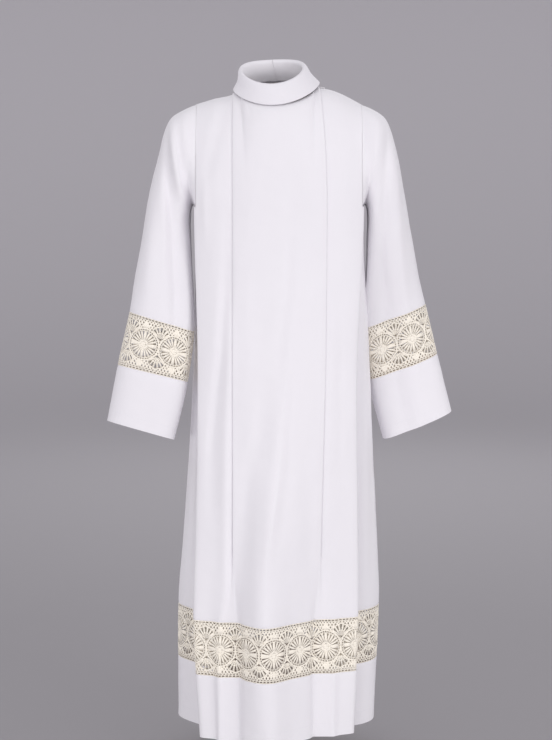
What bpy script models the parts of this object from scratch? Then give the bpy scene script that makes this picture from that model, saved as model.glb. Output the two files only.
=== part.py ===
"""An alb: a long white liturgical robe with a fold-over collar, set-in sleeves and lace insertions.

The robe is modelled as it hangs on a wearer, as thin open walls of cloth at their real size, in metres.
+Z is up and the front faces -Y. The origin lies in the neck opening, level with the shoulder seams.
Right and left are the wearer's, so the right side is at -X.

Each body panel is a net of lines that run down the cloth, such as the edge of a pleat. A table gives
where each line passes at five levels, and smooth curves through those places give every row of the net.
"""

from collections import namedtuple
from math import cos, pi, sin

import bmesh
import bpy
import numpy as np

# Driving dimensions
CLOTH = 0.0011  # wall of the single cloth and of the lace
COLLAR_CLOTH = 0.0022  # wall of the collar: two cloths with an interlining
SEAM = 0.0003  # gap between two pieces that are sewn together
CHEST, WAIST, KNEE = -0.24, -0.6, -0.95  # levels; the chest is also the underarm
LACE_TOP, LACE_BOTTOM, HEM = -1.155, -1.28, -1.425
LEVELS = [CHEST, WAIST, KNEE, LACE_TOP, HEM]
PLACKET_LENGTH, PLACKET_WIDTH = 0.2, 0.026
PLACKET_GAP = 0.0007  # under the placket, which is stitched down over the centre back

Finish = namedtuple("Finish", "colour roughness")
WHITE = Finish((0.86, 0.85, 0.89), 0.75)
ECRU = Finish((0.8, 0.74, 0.64), 0.8)

# How finely the nets are cut
ARCH_ROWS = 5  # from the shoulder seam down to the chest
BODY_ROWS = [CHEST, -0.35, -0.48, WAIST, -0.77, KNEE, -1.06, LACE_TOP]
LACE_ROWS = [LACE_TOP, LACE_BOTTOM]
HEM_ROWS = [LACE_BOTTOM, -1.35, HEM]
GORE_CUTS = 2  # between two lines of a side panel
UNDERARM_CUTS = 1  # on each quarter of the underarm
SLEEVE_CUTS = 2  # rows of the net between two sleeve rings
COLLAR_CUTS = 24

# A line that runs down a panel: (x, y) at each level, and where it starts on the shoulder or neck seam.
# A line with no top_x starts at the underarm. cuts is how many steps the net takes to the next line.
Line = namedtuple("Line", "name chest waist knee lace hem top_x cuts", defaults=[None, 1])

FRONT_RIGHT = [
    Line("seam", (-0.176, -0.078), (-0.152, -0.08), (-0.126, -0.084), (-0.113, -0.09), (-0.108, -0.094)),
    Line("under", (-0.179, -0.082), (-0.164, -0.088), (-0.155, -0.094), (-0.15, -0.099), (-0.144, -0.104)),
    Line("turn", (-0.182, -0.086), (-0.174, -0.096), (-0.18, -0.103), (-0.185, -0.108), (-0.173, -0.115)),
    Line("edge", (-0.184, -0.09), (-0.178, -0.102), (-0.185, -0.109), (-0.191, -0.114), (-0.178, -0.121)),
    Line("lip", (-0.18, -0.095), (-0.174, -0.106), (-0.18, -0.114), (-0.186, -0.119), (-0.173, -0.127), -0.18, 2),
    Line("side", (-0.143, -0.112), (-0.14, -0.122), (-0.145, -0.127), (-0.15, -0.128), (-0.142, -0.137), -0.14, 2),
]
FRONT_MIDDLE = [
    Line("neck", (-0.072, -0.127), (-0.072, -0.14), (-0.074, -0.15), (-0.076, -0.158), (-0.076, -0.164), -0.084, 2),
    Line("slope", (-0.045, -0.13), (-0.043, -0.143), (-0.045, -0.163), (-0.047, -0.177), (-0.045, -0.183), -0.056, 2),
    Line("ridge", (-0.006, -0.131), (-0.005, -0.147), (-0.014, -0.168), (-0.017, -0.18), (-0.015, -0.188), -0.006, 2),
    Line("fall", (0.036, -0.13), (0.032, -0.146), (0.03, -0.153), (0.029, -0.15), (0.029, -0.16), 0.042, 2),
    Line("neck", (0.074, -0.127), (0.073, -0.138), (0.07, -0.134), (0.069, -0.125), (0.069, -0.133), 0.076),
]
FRONT_LEFT = [
    Line("side", (0.146, -0.111), (0.138, -0.119), (0.138, -0.111), (0.139, -0.105), (0.135, -0.113), 0.142, 2),
    Line("lip", (0.18, -0.094), (0.167, -0.106), (0.171, -0.099), (0.173, -0.095), (0.165, -0.102), 0.18),
    Line("edge", (0.184, -0.089), (0.171, -0.101), (0.176, -0.094), (0.178, -0.09), (0.17, -0.097)),
    Line("turn", (0.183, -0.085), (0.168, -0.096), (0.171, -0.089), (0.172, -0.085), (0.165, -0.092)),
    Line("under", (0.179, -0.081), (0.155, -0.088), (0.14, -0.083), (0.132, -0.08), (0.128, -0.086)),
    Line("seam", (0.176, -0.077), (0.138, -0.081), (0.108, -0.079), (0.092, -0.079), (0.088, -0.084)),
]
BACK_RIGHT = [
    Line("seam", (-0.176, 0.08), (-0.15, 0.083), (-0.135, 0.087), (-0.125, 0.093), (-0.122, 0.099)),
    Line("under", (-0.179, 0.085), (-0.164, 0.092), (-0.155, 0.098), (-0.152, 0.105), (-0.148, 0.111)),
    Line("turn", (-0.182, 0.089), (-0.175, 0.1), (-0.18, 0.108), (-0.184, 0.115), (-0.182, 0.122)),
    Line("edge", (-0.184, 0.094), (-0.179, 0.106), (-0.185, 0.114), (-0.19, 0.121), (-0.188, 0.129)),
    Line("lip", (-0.18, 0.098), (-0.175, 0.111), (-0.18, 0.12), (-0.185, 0.127), (-0.182, 0.135), -0.18, 2),
    Line("side", (-0.144, 0.114), (-0.142, 0.123), (-0.144, 0.135), (-0.147, 0.144), (-0.146, 0.152), -0.142, 2),
]
BACK_MIDDLE = [
    Line("neck", (-0.072, 0.128), (-0.071, 0.136), (-0.073, 0.148), (-0.075, 0.152), (-0.075, 0.162), -0.084, 2),
    Line("hollow", (-0.04, 0.131), (-0.038, 0.136), (-0.04, 0.141), (-0.042, 0.142), (-0.042, 0.149), -0.052),
    Line("centre", (0, 0.132), (0, 0.137), (0, 0.148), (0, 0.156), (0, 0.166), -0.004, 2),
    Line("swell", (0.04, 0.131), (0.038, 0.138), (0.04, 0.153), (0.041, 0.164), (0.042, 0.174), 0.044, 2),
    Line("neck", (0.072, 0.128), (0.071, 0.135), (0.073, 0.144), (0.074, 0.148), (0.074, 0.155), 0.076),
]
BACK_LEFT = [
    Line("side", (0.144, 0.114), (0.142, 0.123), (0.144, 0.137), (0.146, 0.148), (0.145, 0.156), 0.142, 2),
    Line("lip", (0.18, 0.098), (0.172, 0.111), (0.177, 0.121), (0.181, 0.129), (0.179, 0.137), 0.18),
    Line("edge", (0.184, 0.094), (0.176, 0.106), (0.182, 0.115), (0.186, 0.123), (0.185, 0.131)),
    Line("turn", (0.183, 0.089), (0.172, 0.1), (0.177, 0.109), (0.18, 0.117), (0.179, 0.124)),
    Line("under", (0.179, 0.085), (0.161, 0.092), (0.152, 0.099), (0.148, 0.106), (0.145, 0.112)),
    Line("seam", (0.176, 0.08), (0.147, 0.083), (0.133, 0.088), (0.124, 0.094), (0.12, 0.1)),
]
GORE_RIGHT = [
    Line("front_fold", (-0.182, -0.058), (-0.166, -0.062), (-0.16, -0.062), (-0.158, -0.062), (-0.158, -0.062)),
    Line("forward", (-0.185, -0.03), (-0.181, -0.038), (-0.188, -0.04), (-0.194, -0.036), (-0.198, -0.03)),
    Line("flank", (-0.187, 0), (-0.189, -0.006), (-0.207, -0.008), (-0.222, -0.004), (-0.23, 0.008)),
    Line("rear", (-0.186, 0.03), (-0.186, 0.03), (-0.207, 0.03), (-0.225, 0.034), (-0.233, 0.046)),
    Line("rear_fold", (-0.182, 0.058), (-0.17, 0.06), (-0.185, 0.066), (-0.198, 0.072), (-0.204, 0.084)),
]
GORE_LEFT = [
    Line("front_fold", (0.182, -0.058), (0.159, -0.059), (0.15, -0.057), (0.146, -0.056), (0.142, -0.06)),
    Line("forward", (0.186, -0.03), (0.193, -0.038), (0.195, -0.04), (0.194, -0.04), (0.19, -0.042)),
    Line("flank", (0.187, 0), (0.206, -0.017), (0.219, -0.012), (0.222, -0.01), (0.217, -0.01)),
    Line("rear", (0.186, 0.03), (0.184, 0.02), (0.21, 0.026), (0.222, 0.034), (0.219, 0.036)),
    Line("rear_fold", (0.182, 0.058), (0.168, 0.053), (0.186, 0.064), (0.2, 0.072), (0.202, 0.078)),
]

# The four long pleats: each line is the fold at the edge of the middle panel.
PLEATS = [
    Line("front_right", (-0.1, -0.12), (-0.101, -0.133), (-0.102, -0.139), (-0.104, -0.14), (-0.104, -0.148), -0.101),
    Line("front_left", (0.103, -0.1205), (0.101, -0.13), (0.094, -0.1235), (0.092, -0.1145), (0.093, -0.1215), 0.0885),
    Line("back_right", (-0.103, 0.123), (-0.103, 0.132), (-0.103, 0.146), (-0.104, 0.155), (-0.104, 0.164), -0.103),
    Line("back_left", (0.103, 0.123), (0.103, 0.131), (0.103, 0.14), (0.103, 0.145), (0.103, 0.152), 0.101),
]
# folded is 1 where the fold lies flat on its underlay and 0 where it has opened into a step of width spread.
Fold = namedtuple("Fold", "z folded under depth spread")
PLEAT_FOLDS = [
    Fold(z=0.05, folded=1, under=0.011, depth=0.0032, spread=0.006),
    Fold(z=WAIST, folded=1, under=0.014, depth=0.0036, spread=0.006),
    Fold(z=KNEE, folded=1, under=0.006, depth=0.0046, spread=0.006),
    Fold(z=-1.06, folded=0, under=0.006, depth=0.005, spread=0.008),
    Fold(z=LACE_TOP, folded=0, under=0.006, depth=0.0025, spread=0.026),
    Fold(z=HEM, folded=0, under=0.006, depth=0.001, spread=0.032),
]
PLEAT_ROUNDING = 0.0005  # how far the hidden turn of a pleat is rounded
PLEAT_APPROACH = 0.014  # the side panel reaches its full depth this far from the fold
PLEAT_LAYER = 0.84  # how deep the layer under the fold lies, as a share of the pleat's depth

# The shoulder ridge, where the front and back meet.
Ridge = namedtuple("Ridge", "x z")
SHOULDER = [
    Ridge(-0.18, -0.0195),
    Ridge(-0.14, -0.0075),
    Ridge(-0.103, 0.0035),
    Ridge(-0.084, 0.0075),
    Ridge(0.076, 0.0155),
    Ridge(0.101, 0.0145),
    Ridge(0.15, -0.004),
    Ridge(0.18, -0.02),
]

# Rings round the neck: centre and half width across, reach to the front and back, and four heights.
Ring = namedtuple("Ring", "centre_x half_width front back z_front z_back z_right z_left")
NECKLINE = Ring(-0.004, 0.08, 0.078, 0.064, -0.021, 0.03, 0.0075, 0.0155)
COLLAR_RINGS = [
    Ring(-0.005, 0.0768, 0.0745, 0.0608, -0.019, 0.033, 0.0115, 0.0195),  # foot of the stand
    Ring(-0.0095, 0.0685, 0.067, 0.058, 0.003, 0.055, 0.035, 0.042),  # middle of the stand
    Ring(-0.0143, 0.0672, 0.064, 0.057, 0.018, 0.074, 0.052, 0.0585),  # top of the stand
    Ring(-0.0141, 0.0699, 0.0668, 0.0596, 0.0212, 0.077, 0.0555, 0.0612),  # roll
    Ring(-0.0134, 0.0732, 0.07, 0.0628, 0.018, 0.074, 0.052, 0.058),  # shoulder of the fall
    Ring(-0.0097, 0.0797, 0.0795, 0.073, -0.002, 0.048, 0.0305, 0.0425),  # middle of the fall
    Ring(-0.0055, 0.093, 0.089, 0.086, -0.0225, 0.023, 0.0115, 0.0255),  # edge of the fall
]
COLLAR_OPENING = 0.0006  # the collar's ends meet at the centre back

# Sleeve rings, from the head of the sleeve to the cuff: the outer and inner ends of each ring, seen from
# the front, how far it reaches to the front and back of its middle, and how much its front is raised.
Cuff = namedtuple("Cuff", "outer_x outer_z inner_x inner_z middle_y half_depth lift", defaults=[0])
RIGHT_SLEEVE = [
    Cuff(0.212, -0.034, 0.1905, -0.2405, 0, 0.082),
    Cuff(0.236, -0.0495, 0.1945, -0.25, 0, 0.083),
    Cuff(0.251, -0.0755, 0.196, -0.266, 0, 0.082),
    Cuff(0.265, -0.129, 0.1965, -0.285, 0, 0.079),
    Cuff(0.2855, -0.2115, 0.195, -0.315, -0.008, 0.073),
    Cuff(0.305, -0.324, 0.192, -0.38, -0.022, 0.064),
    Cuff(0.3195, -0.407, 0.188, -0.446, -0.034, 0.057, 0.003),
    Cuff(0.3305, -0.4725, 0.187, -0.516, -0.043, 0.052, 0.005),
    Cuff(0.357, -0.591, 0.202, -0.629, -0.048, 0.048, 0.007),
    Cuff(0.3825, -0.716, 0.2335, -0.759, -0.05, 0.045, 0.008),
]
LEFT_SLEEVE = [
    Cuff(0.21, -0.0335, 0.1905, -0.2405, 0, 0.082),
    Cuff(0.2315, -0.0495, 0.1945, -0.25, 0, 0.083),
    Cuff(0.245, -0.0765, 0.196, -0.266, 0, 0.082),
    Cuff(0.26, -0.13, 0.1965, -0.285, 0, 0.079),
    Cuff(0.2785, -0.217, 0.196, -0.32, 0.01, 0.073),
    Cuff(0.301, -0.335, 0.195, -0.39, 0.022, 0.064),
    Cuff(0.317, -0.415, 0.19, -0.456, 0.032, 0.057),
    Cuff(0.3305, -0.463, 0.187, -0.517, 0.037, 0.052),
    Cuff(0.3595, -0.5765, 0.201, -0.634, 0.037, 0.048),
    Cuff(0.392, -0.707, 0.237, -0.769, 0.032, 0.046),
]
LACE_RING, CUFF_RING = 8, 9  # where the lace and the cuff start, counted with the armhole as ring 0
SQUARENESS = 2.25  # of a sleeve ring: 2 is an ellipse
CORNER = 125 * pi / 180  # where round a ring the underarm seam starts, from its top


def smooth(knots, values, at, level_start=False):
    """The value at one place of a smooth curve through a table. level_start starts it with no slope."""
    knots, values = np.asarray(knots, float), np.asarray(values, float)
    if knots[0] > knots[-1]:
        knots, values, at = -knots, values, -at
    i = int(np.clip(np.searchsorted(knots, at) - 1, 0, len(knots) - 2))
    slopes = np.gradient(values, knots, axis=0)
    if level_start:
        slopes[0] = 0
    step = knots[i + 1] - knots[i]
    t = np.clip((at - knots[i]) / step, 0, 1)
    return (
        values[i] * (2 * t**3 - 3 * t**2 + 1)
        + values[i + 1] * (3 * t**2 - 2 * t**3)
        + step * (slopes[i] * (t**3 - 2 * t**2 + t) + slopes[i + 1] * (t**3 - t**2))
    )


def curve_through(points, cuts):
    """A smooth curve through the points, with cuts[i] steps between point i and the next."""
    points = np.asarray(points, float)
    padded = np.vstack([2 * points[0] - points[1], points, 2 * points[-1] - points[-2]])
    curve = []
    for i, steps in enumerate(cuts):
        a, b, c, d = padded[i : i + 4]
        chords = [max(np.linalg.norm(q - p), 1e-7) ** 0.5 for p, q in ((a, b), (b, c), (c, d))]
        t0, t1, t2, t3 = np.concatenate([[0], np.cumsum(chords)])
        for t in t1 + (t2 - t1) * np.arange(steps) / steps:
            ab = a + (b - a) * (t - t0) / (t1 - t0)
            bc = b + (c - b) * (t - t1) / (t2 - t1)
            cd = c + (d - c) * (t - t2) / (t3 - t2)
            abc = ab + (bc - ab) * (t - t0) / (t2 - t0)
            bcd = bc + (cd - bc) * (t - t1) / (t3 - t1)
            curve.append(abc + (bcd - abc) * (t - t1) / (t2 - t1))
    return np.array(curve + [points[-1]])


def line_at(line, z):
    """(x, y) of a line at a level."""
    return smooth(LEVELS, [line.chest, line.waist, line.knee, line.lace, line.hem], z, level_start=True)


def pleat_offsets(z, side):
    """The seven points of a pleat at a level, side panel first, as (offset across, depth below the fold).

    side is +1 where the middle panel lies towards +X."""
    folds = [(f.folded, f.under, f.depth, f.spread) for f in PLEAT_FOLDS]
    folded, under, depth, spread = smooth([f.z for f in PLEAT_FOLDS], folds, z)
    folded = float(np.clip(folded, 0, 1))
    hidden = PLEAT_LAYER * depth
    tuck = under - PLEAT_ROUNDING
    shut = np.array([
        (-PLEAT_APPROACH, depth), (tuck, depth), (under, (depth + hidden) / 2), (tuck, hidden),
        (hidden / 2, hidden), (0, hidden / 2), (hidden / 2, 0),
    ])
    step = [(spread * (share - 0.5), depth * (1 - share)) for share in np.linspace(0, 1, len(shut) - 1)]
    opened = np.array([(-PLEAT_APPROACH - spread / 2, depth)] + step)
    return [(side * across, below) for across, below in folded * shut + (1 - folded) * opened]


def pleat_points(pleat, z, side, inward):
    x, y = line_at(pleat, z)
    return [(x + a, y + inward * b) for a, b in pleat_offsets(z, side)]


def section(right, middle, left, pleat_right, pleat_left, inward, z):
    """The key points of a front or back panel across a level, from -X to +X."""
    return (
        [line_at(line, z) for line in right]
        + pleat_points(pleat_right, z, +1, inward)
        + [line_at(line, z) for line in middle]
        + pleat_points(pleat_left, z, -1, inward)[::-1]
        + [line_at(line, z) for line in left]
    )


def shoulder_z(x):
    return float(smooth([r.x for r in SHOULDER], [r.z for r in SHOULDER], x))


def ring_point(ring, angle):
    """A point of a ring round the neck. Angle 0 is the centre front, and it grows towards +X."""
    s, c = sin(angle), cos(angle)
    side = (ring.z_right + ring.z_left) / 2
    z = (
        side
        + s * (ring.z_left - ring.z_right) / 2
        + c * (ring.z_front - ring.z_back) / 2
        + c * c * ((ring.z_front + ring.z_back) / 2 - side)
    )
    return np.array([ring.centre_x + s * ring.half_width, -c * (ring.front if c > 0 else ring.back), z])


def neck_angle(x, is_front):
    s = np.clip((x - NECKLINE.centre_x) / NECKLINE.half_width, -1, 1)
    angle = float(np.arcsin(s))
    return angle if is_front else pi - angle


def top_point(x, drop, is_front):
    """Where a line of a panel starts: on the neckline or the shoulder ridge. A hidden layer lies drop below it."""
    if drop == 0 and abs(x - NECKLINE.centre_x) < NECKLINE.half_width - 1e-6:
        point = ring_point(NECKLINE, neck_angle(x, is_front))
    else:
        point = np.array([x, 0.0, shoulder_z(x)])
    gap = -SEAM / 2 if is_front else SEAM / 2
    return point + np.array([0, gap, -drop])


def panel_columns(right, middle, left, pleat_right, pleat_left):
    """Cuts after each key point, and (top x, drop) of the key points that reach the shoulder."""
    right_cuts = [line.cuts for line in right]
    middle_cuts = [line.cuts for line in middle]
    left_cuts = [line.cuts for line in left]
    pleat = pleat_offsets(PLEAT_FOLDS[0].z, +1)
    cuts = right_cuts + [1] * len(pleat) + middle_cuts + [1] * len(pleat) + left_cuts
    tops = [(line.top_x, 0) for line in right]
    tops += [(pleat_right.top_x + a, b) for a, b in pleat]
    tops += [(line.top_x, 0) for line in middle]
    tops += [(pleat_left.top_x - a, b) for a, b in pleat[::-1]]
    tops += [(line.top_x, 0) for line in left]
    return cuts[:-1], tops


def spread_tops(tops, cuts):
    """(top x, drop) of every column, evenly between the key ones; None where a column has no top."""
    out = []
    for (x0, d0), (x1, d1), steps in zip(tops, tops[1:], cuts):
        for k in range(steps):
            t = k / steps
            if x0 is None or (x1 is None and k):
                out.append(None)
            else:
                out.append((x0, d0) if not k else (x0 + (x1 - x0) * t, d0 + (d1 - d0) * t))
    return out + [None if tops[-1][0] is None else tops[-1]]


def panel_net(side_name, rows):
    """Rows of points of a front or back panel below the underarm, and what its columns start from."""
    is_front = side_name == "front"
    right, middle, left = (
        (FRONT_RIGHT, FRONT_MIDDLE, FRONT_LEFT) if is_front else (BACK_RIGHT, BACK_MIDDLE, BACK_LEFT)
    )
    pleats = [line for line in PLEATS if line.name.startswith(side_name)]
    inward = 1 if is_front else -1
    cuts, tops = panel_columns(right, middle, left, *pleats)
    net = []
    for z in rows:
        flat = curve_through(section(right, middle, left, *pleats, inward, z), cuts)
        net.append(np.column_stack([flat, np.full(len(flat), z)]))
    return np.array(net), spread_tops(tops, cuts)


def arch_net(chest_row, tops, is_front):
    """Rows from the shoulder seam down to the chest, for the columns that have a top."""
    net = []
    for i in range(ARCH_ROWS):
        turn = i * pi / 2 / ARCH_ROWS
        share = turn / (pi / 2)
        row = []
        for chest, top in zip(chest_row, tops):
            start = chest if top is None else top_point(*top, is_front)
            x = start[0] + (chest[0] - start[0]) * share**2 * (3 - 2 * share)
            y = start[1] + (chest[1] - start[1]) * sin(turn)
            z = chest[2] + (start[2] - chest[2]) * cos(turn)
            row.append((x, y, z))
        net.append(row)
    return np.array(net)


def gore_net(name, rows):
    """Rows of a side panel, from its seam with the front to its seam with the back."""
    lines = GORE_RIGHT if name == "right" else GORE_LEFT
    front = FRONT_RIGHT[0] if name == "right" else FRONT_LEFT[-1]
    back = BACK_RIGHT[0] if name == "right" else BACK_LEFT[-1]
    cuts = [GORE_CUTS] * (len(lines) + 1)
    net = []
    for z in rows:
        keys = [line_at(front, z) + (0, SEAM)] + [line_at(line, z) for line in lines]
        keys.append(line_at(back, z) - (0, SEAM))
        flat = curve_through(keys, cuts)
        net.append(np.column_stack([flat, np.full(len(flat), z)]))
    return np.array(net)


def armhole(side, front_edge, back_edge, gore_top):
    """The first ring of a sleeve, SEAM outside the armhole: over the front, under the arm, up the back."""
    out = np.array([side * SEAM, 0, 0])
    quarters = gore_top[[GORE_CUTS, len(gore_top) // 2, -1 - GORE_CUTS]] + (0, 0, SEAM)
    under = curve_through([front_edge[-1], *quarters, back_edge[-1]], [UNDERARM_CUTS] * 4)
    ridge = np.array([[front_edge[0][0], 0, front_edge[0][2]]])
    return np.concatenate([ridge, front_edge[1:-1], under, back_edge[1:-1][::-1]]) + out


def ring_angles(under_points):
    """Angles round a sleeve ring that pair with the armhole's points."""
    over = [CORNER * i / ARCH_ROWS for i in range(ARCH_ROWS)]
    under = np.linspace(CORNER, 2 * pi - CORNER, under_points)
    return np.concatenate([over, under, [2 * pi - a for a in over[:0:-1]]])


def sleeve_ring(side, ring, angles):
    """The points of one sleeve ring, from its outer end round by the front."""
    outer = np.array([side * ring.outer_x, ring.middle_y, ring.outer_z])
    inner = np.array([side * ring.inner_x, ring.middle_y, ring.inner_z])
    middle, half = (outer + inner) / 2, (outer - inner) / 2
    power = 2 / SQUARENESS
    along = np.sign(np.cos(angles)) * np.abs(np.cos(angles)) ** power
    front = np.sign(np.sin(angles)) * np.abs(np.sin(angles)) ** power
    return middle + along[:, None] * half + front[:, None] * np.array([0, -ring.half_depth, ring.lift])


def refined(rings, cuts):
    """Rings with cuts steps between each two, on smooth curves down the sleeve."""
    rings = np.asarray(rings)
    columns = [curve_through(rings[:, k], [cuts] * (len(rings) - 1)) for k in range(rings.shape[1])]
    return np.array(columns).transpose(1, 0, 2)


def net_faces(net, closed=False, wanted=None):
    """Triangles of a net, along the shorter diagonal of each cell. closed joins the last column to the first."""
    rows, columns = net.shape[:2]
    faces = []
    for r in range(rows - 1):
        for c in range(columns if closed else columns - 1):
            d = (c + 1) % columns
            if wanted is None or (wanted[r][c] and wanted[r][d]):
                p, q, s, t = r * columns + c, r * columns + d, (r + 1) * columns + d, (r + 1) * columns + c
                if np.linalg.norm(net[r, c] - net[r + 1, d]) < np.linalg.norm(net[r, d] - net[r + 1, c]):
                    faces += [(p, q, s), (p, s, t)]
                else:
                    faces += [(p, q, t), (q, s, t)]
    return faces


def corner_normals(points, faces):
    """Unit normals at the points, each the mean of the faces round it, weighted by the angle there."""
    normals = np.zeros_like(points)
    for face in faces:
        corners = points[list(face)]
        normal = np.cross(corners[1] - corners[0], corners[2] - corners[0])
        length = np.linalg.norm(normal)
        if length > 1e-12:
            for k, index in enumerate(face):
                a, b = corners[k - 1] - corners[k], corners[(k + 1) % 3] - corners[k]
                cosine = a @ b / max(np.linalg.norm(a) * np.linalg.norm(b), 1e-12)
                normals[index] += normal / length * np.arccos(np.clip(cosine, -1, 1))
    return normals / np.maximum(np.linalg.norm(normals, axis=1), 1e-9)[:, None]


def cloth(name, net, finish, outward, closed=False, wall=CLOTH, wanted=None, rim_normals=None):
    """A wall of cloth: its outer face is the net, and its inner one lies a wall inside it.

    outward is +1 where columns crossed with rows point out of the robe. rim_normals fixes the direction of
    the wall at chosen columns or rows, so that two pieces end flush at their seam."""
    net = np.asarray(net, float)
    rows, columns = net.shape[:2]
    faces = net_faces(net, closed, wanted)
    if outward < 0:
        faces = [face[::-1] for face in faces]
    points = net.reshape(-1, 3)
    normals = corner_normals(points, faces)
    if rim_normals:
        normals = rim_normals(normals.reshape(rows, columns, 3)).reshape(-1, 3)
        normals /= np.maximum(np.linalg.norm(normals, axis=1), 1e-9)[:, None]
    used = sorted({index for face in faces for index in face})
    mesh = bmesh.new()
    outer = {i: mesh.verts.new(points[i]) for i in used}
    inner = {i: mesh.verts.new(points[i] - wall * normals[i]) for i in used}
    edges = {}
    for face in faces:
        mesh.faces.new([outer[i] for i in face])
        mesh.faces.new([inner[i] for i in reversed(face)])
        for a, b in zip(face, face[1:] + face[:1]):
            edges[(a, b)] = True
    for a, b in edges:
        if (b, a) not in edges:
            mesh.faces.new([outer[b], outer[a], inner[a], inner[b]])
    data = bpy.data.meshes.new(name)
    mesh.to_mesh(data)
    mesh.free()
    data.shade_smooth()
    data.materials.append(make_material(name, finish))
    obj = bpy.data.objects.new(name, data)
    bpy.context.scene.collection.objects.link(obj)
    return obj


def make_material(name, finish):
    material = bpy.data.materials.new(name)
    material.use_nodes = True
    shader = material.node_tree.nodes["Principled BSDF"]
    shader.inputs["Base Color"].default_value = (*finish.colour, 1)
    shader.inputs["Roughness"].default_value = finish.roughness
    shader.inputs["Metallic"].default_value = 0
    return material


def flat_top_and_bottom(normals):
    """Keeps the wall of the first and last rows level, so that tiers meet on a flat seam."""
    normals[0, :, 2] = 0
    normals[-1, :, 2] = 0
    return normals


def tier_rows(rows):
    """The rows of a tier, drawn in by half a seam at each end that is sewn to the next tier."""
    rows = list(rows)
    if rows[0] < CHEST:
        rows[0] -= SEAM / 2
    if rows[-1] > HEM:
        rows[-1] += SEAM / 2
    return rows


def flush_panel(armhole_columns):
    """Turns the walls of a panel flush: plumb at the shoulder seam and across the armhole, level below."""

    def fix(normals):
        normals[-1, :, 2] = 0
        normals[0, :, 1] = 0
        normals[ARCH_ROWS, :, 2] = 0
        for column in armhole_columns:
            normals[: ARCH_ROWS + 1, column, 0] = 0
        return normals

    return fix


def build_panel(name, outward):
    """The front or the back, from the neck and shoulders to the lace, in one piece."""
    is_front = name == "front"
    body, tops = panel_net(name, tier_rows(BODY_ROWS))
    arch = arch_net(body[0], tops, is_front)
    net = np.concatenate([arch, body])
    has_top = [top is not None for top in tops]
    wanted = [has_top] * ARCH_ROWS + [[True] * len(tops)] * len(body)
    armhole_columns = [has_top.index(True), len(has_top) - 1 - has_top[::-1].index(True)]
    cloth(name, net, WHITE, outward, wanted=wanted, rim_normals=flush_panel(armhole_columns))
    return net, has_top


def build_collar():
    """One folded strip: a stand up from the neckline, a roll, and the fall over it, open at the back."""
    split = COLLAR_OPENING / 2 / COLLAR_RINGS[0].back
    around = np.linspace(pi + split, 3 * pi - split, COLLAR_CUTS + 1)
    net = [[ring_point(ring, a) for a in around] for ring in COLLAR_RINGS]
    cloth("collar", net, WHITE, outward=1, wall=COLLAR_CLOTH)


def build_placket(back_net):
    """A strip over the centre back opening, made from the back's own points, moved out."""
    centre = int(np.argmin(np.abs(back_net[-1, :, 0])))
    rows = [row for row in back_net if row[centre, 2] > back_net[0, centre, 2] - PLACKET_LENGTH]
    strip = []
    for row in rows[1:]:
        x, y, z = row[centre - 1 : centre + 2].T
        across = row[centre, 0] + PLACKET_WIDTH * np.array([-0.5, 0, 0.5])
        strip.append(np.column_stack([across, np.interp(across, x, y), np.interp(across, x, z)]))
    strip = np.array(strip)
    faces = net_faces(strip)
    normals = corner_normals(strip.reshape(-1, 3), faces).reshape(strip.shape)
    cloth("back_placket", strip + normals * (PLACKET_GAP + CLOTH), WHITE, outward=1)


def build_sleeve(side_name, front_net, back_net, has_top, gore_top):
    side, rings = (-1, RIGHT_SLEEVE) if side_name == "right" else (1, LEFT_SLEEVE)
    front_lips = [i for i, top in enumerate(has_top[0]) if top]
    back_lips = [i for i, top in enumerate(has_top[1]) if top]
    pick = 0 if side < 0 else -1
    front_edge = front_net[: ARCH_ROWS + 1, front_lips[pick]]
    back_edge = back_net[: ARCH_ROWS + 1, back_lips[pick]]
    start = armhole(side, front_edge, back_edge, gore_top)
    angles = ring_angles(len(start) - 2 * ARCH_ROWS + 1)
    net = refined([start] + [sleeve_ring(side, ring, angles) for ring in rings], SLEEVE_CUTS)
    lace_row, cuff_row = LACE_RING * SLEEVE_CUTS, CUFF_RING * SLEEVE_CUTS
    normals = corner_normals(net.reshape(-1, 3), net_faces(net, closed=True)).reshape(net.shape) * side
    normals[0, :, 0] = 0  # the first ring's wall stays in the plane of the armhole
    tiers = [
        ("sleeve_", 0, lace_row, WHITE),
        ("sleeve_lace_", lace_row, cuff_row, ECRU),
        ("cuff_", cuff_row, len(net) - 1, WHITE),
    ]
    for prefix, first, last, finish in tiers:
        part = net[first : last + 1].copy()
        if first > 0:
            part[0] += unit(part[1] - part[0]) * SEAM / 2
        if last < len(net) - 1:
            part[-1] += unit(part[-2] - part[-1]) * SEAM / 2
        cloth(
            prefix + side_name, part, finish, outward=side, closed=True,
            rim_normals=lambda _, share=normals[first : last + 1]: share.copy(),
        )


def unit(vectors):
    return vectors / np.linalg.norm(vectors, axis=-1, keepdims=True)


def build_lower_tiers(name, net_of, outward):
    """The lace and the hem band under one panel."""
    for prefix, rows, finish in (("lace_", LACE_ROWS, ECRU), ("hem_", HEM_ROWS, WHITE)):
        cloth(prefix + name, net_of(tier_rows(rows)), finish, outward, rim_normals=flat_top_and_bottom)


def main():
    for obj in list(bpy.data.objects):
        bpy.data.objects.remove(obj)
    front_net, front_has_top = build_panel("front", outward=-1)
    back_net, back_has_top = build_panel("back", outward=1)
    build_lower_tiers("front", lambda rows: panel_net("front", rows)[0], outward=-1)
    build_lower_tiers("back", lambda rows: panel_net("back", rows)[0], outward=1)
    for side_name, outward in (("right", 1), ("left", -1)):
        gore = gore_net(side_name, tier_rows(BODY_ROWS))
        cloth("gore_" + side_name, gore, WHITE, outward, rim_normals=flat_top_and_bottom)
        build_lower_tiers("gore_" + side_name, lambda rows, name=side_name: gore_net(name, rows), outward)
        build_sleeve(side_name, front_net, back_net, (front_has_top, back_has_top), gore[0])
    build_collar()
    build_placket(back_net)


main()
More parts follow.
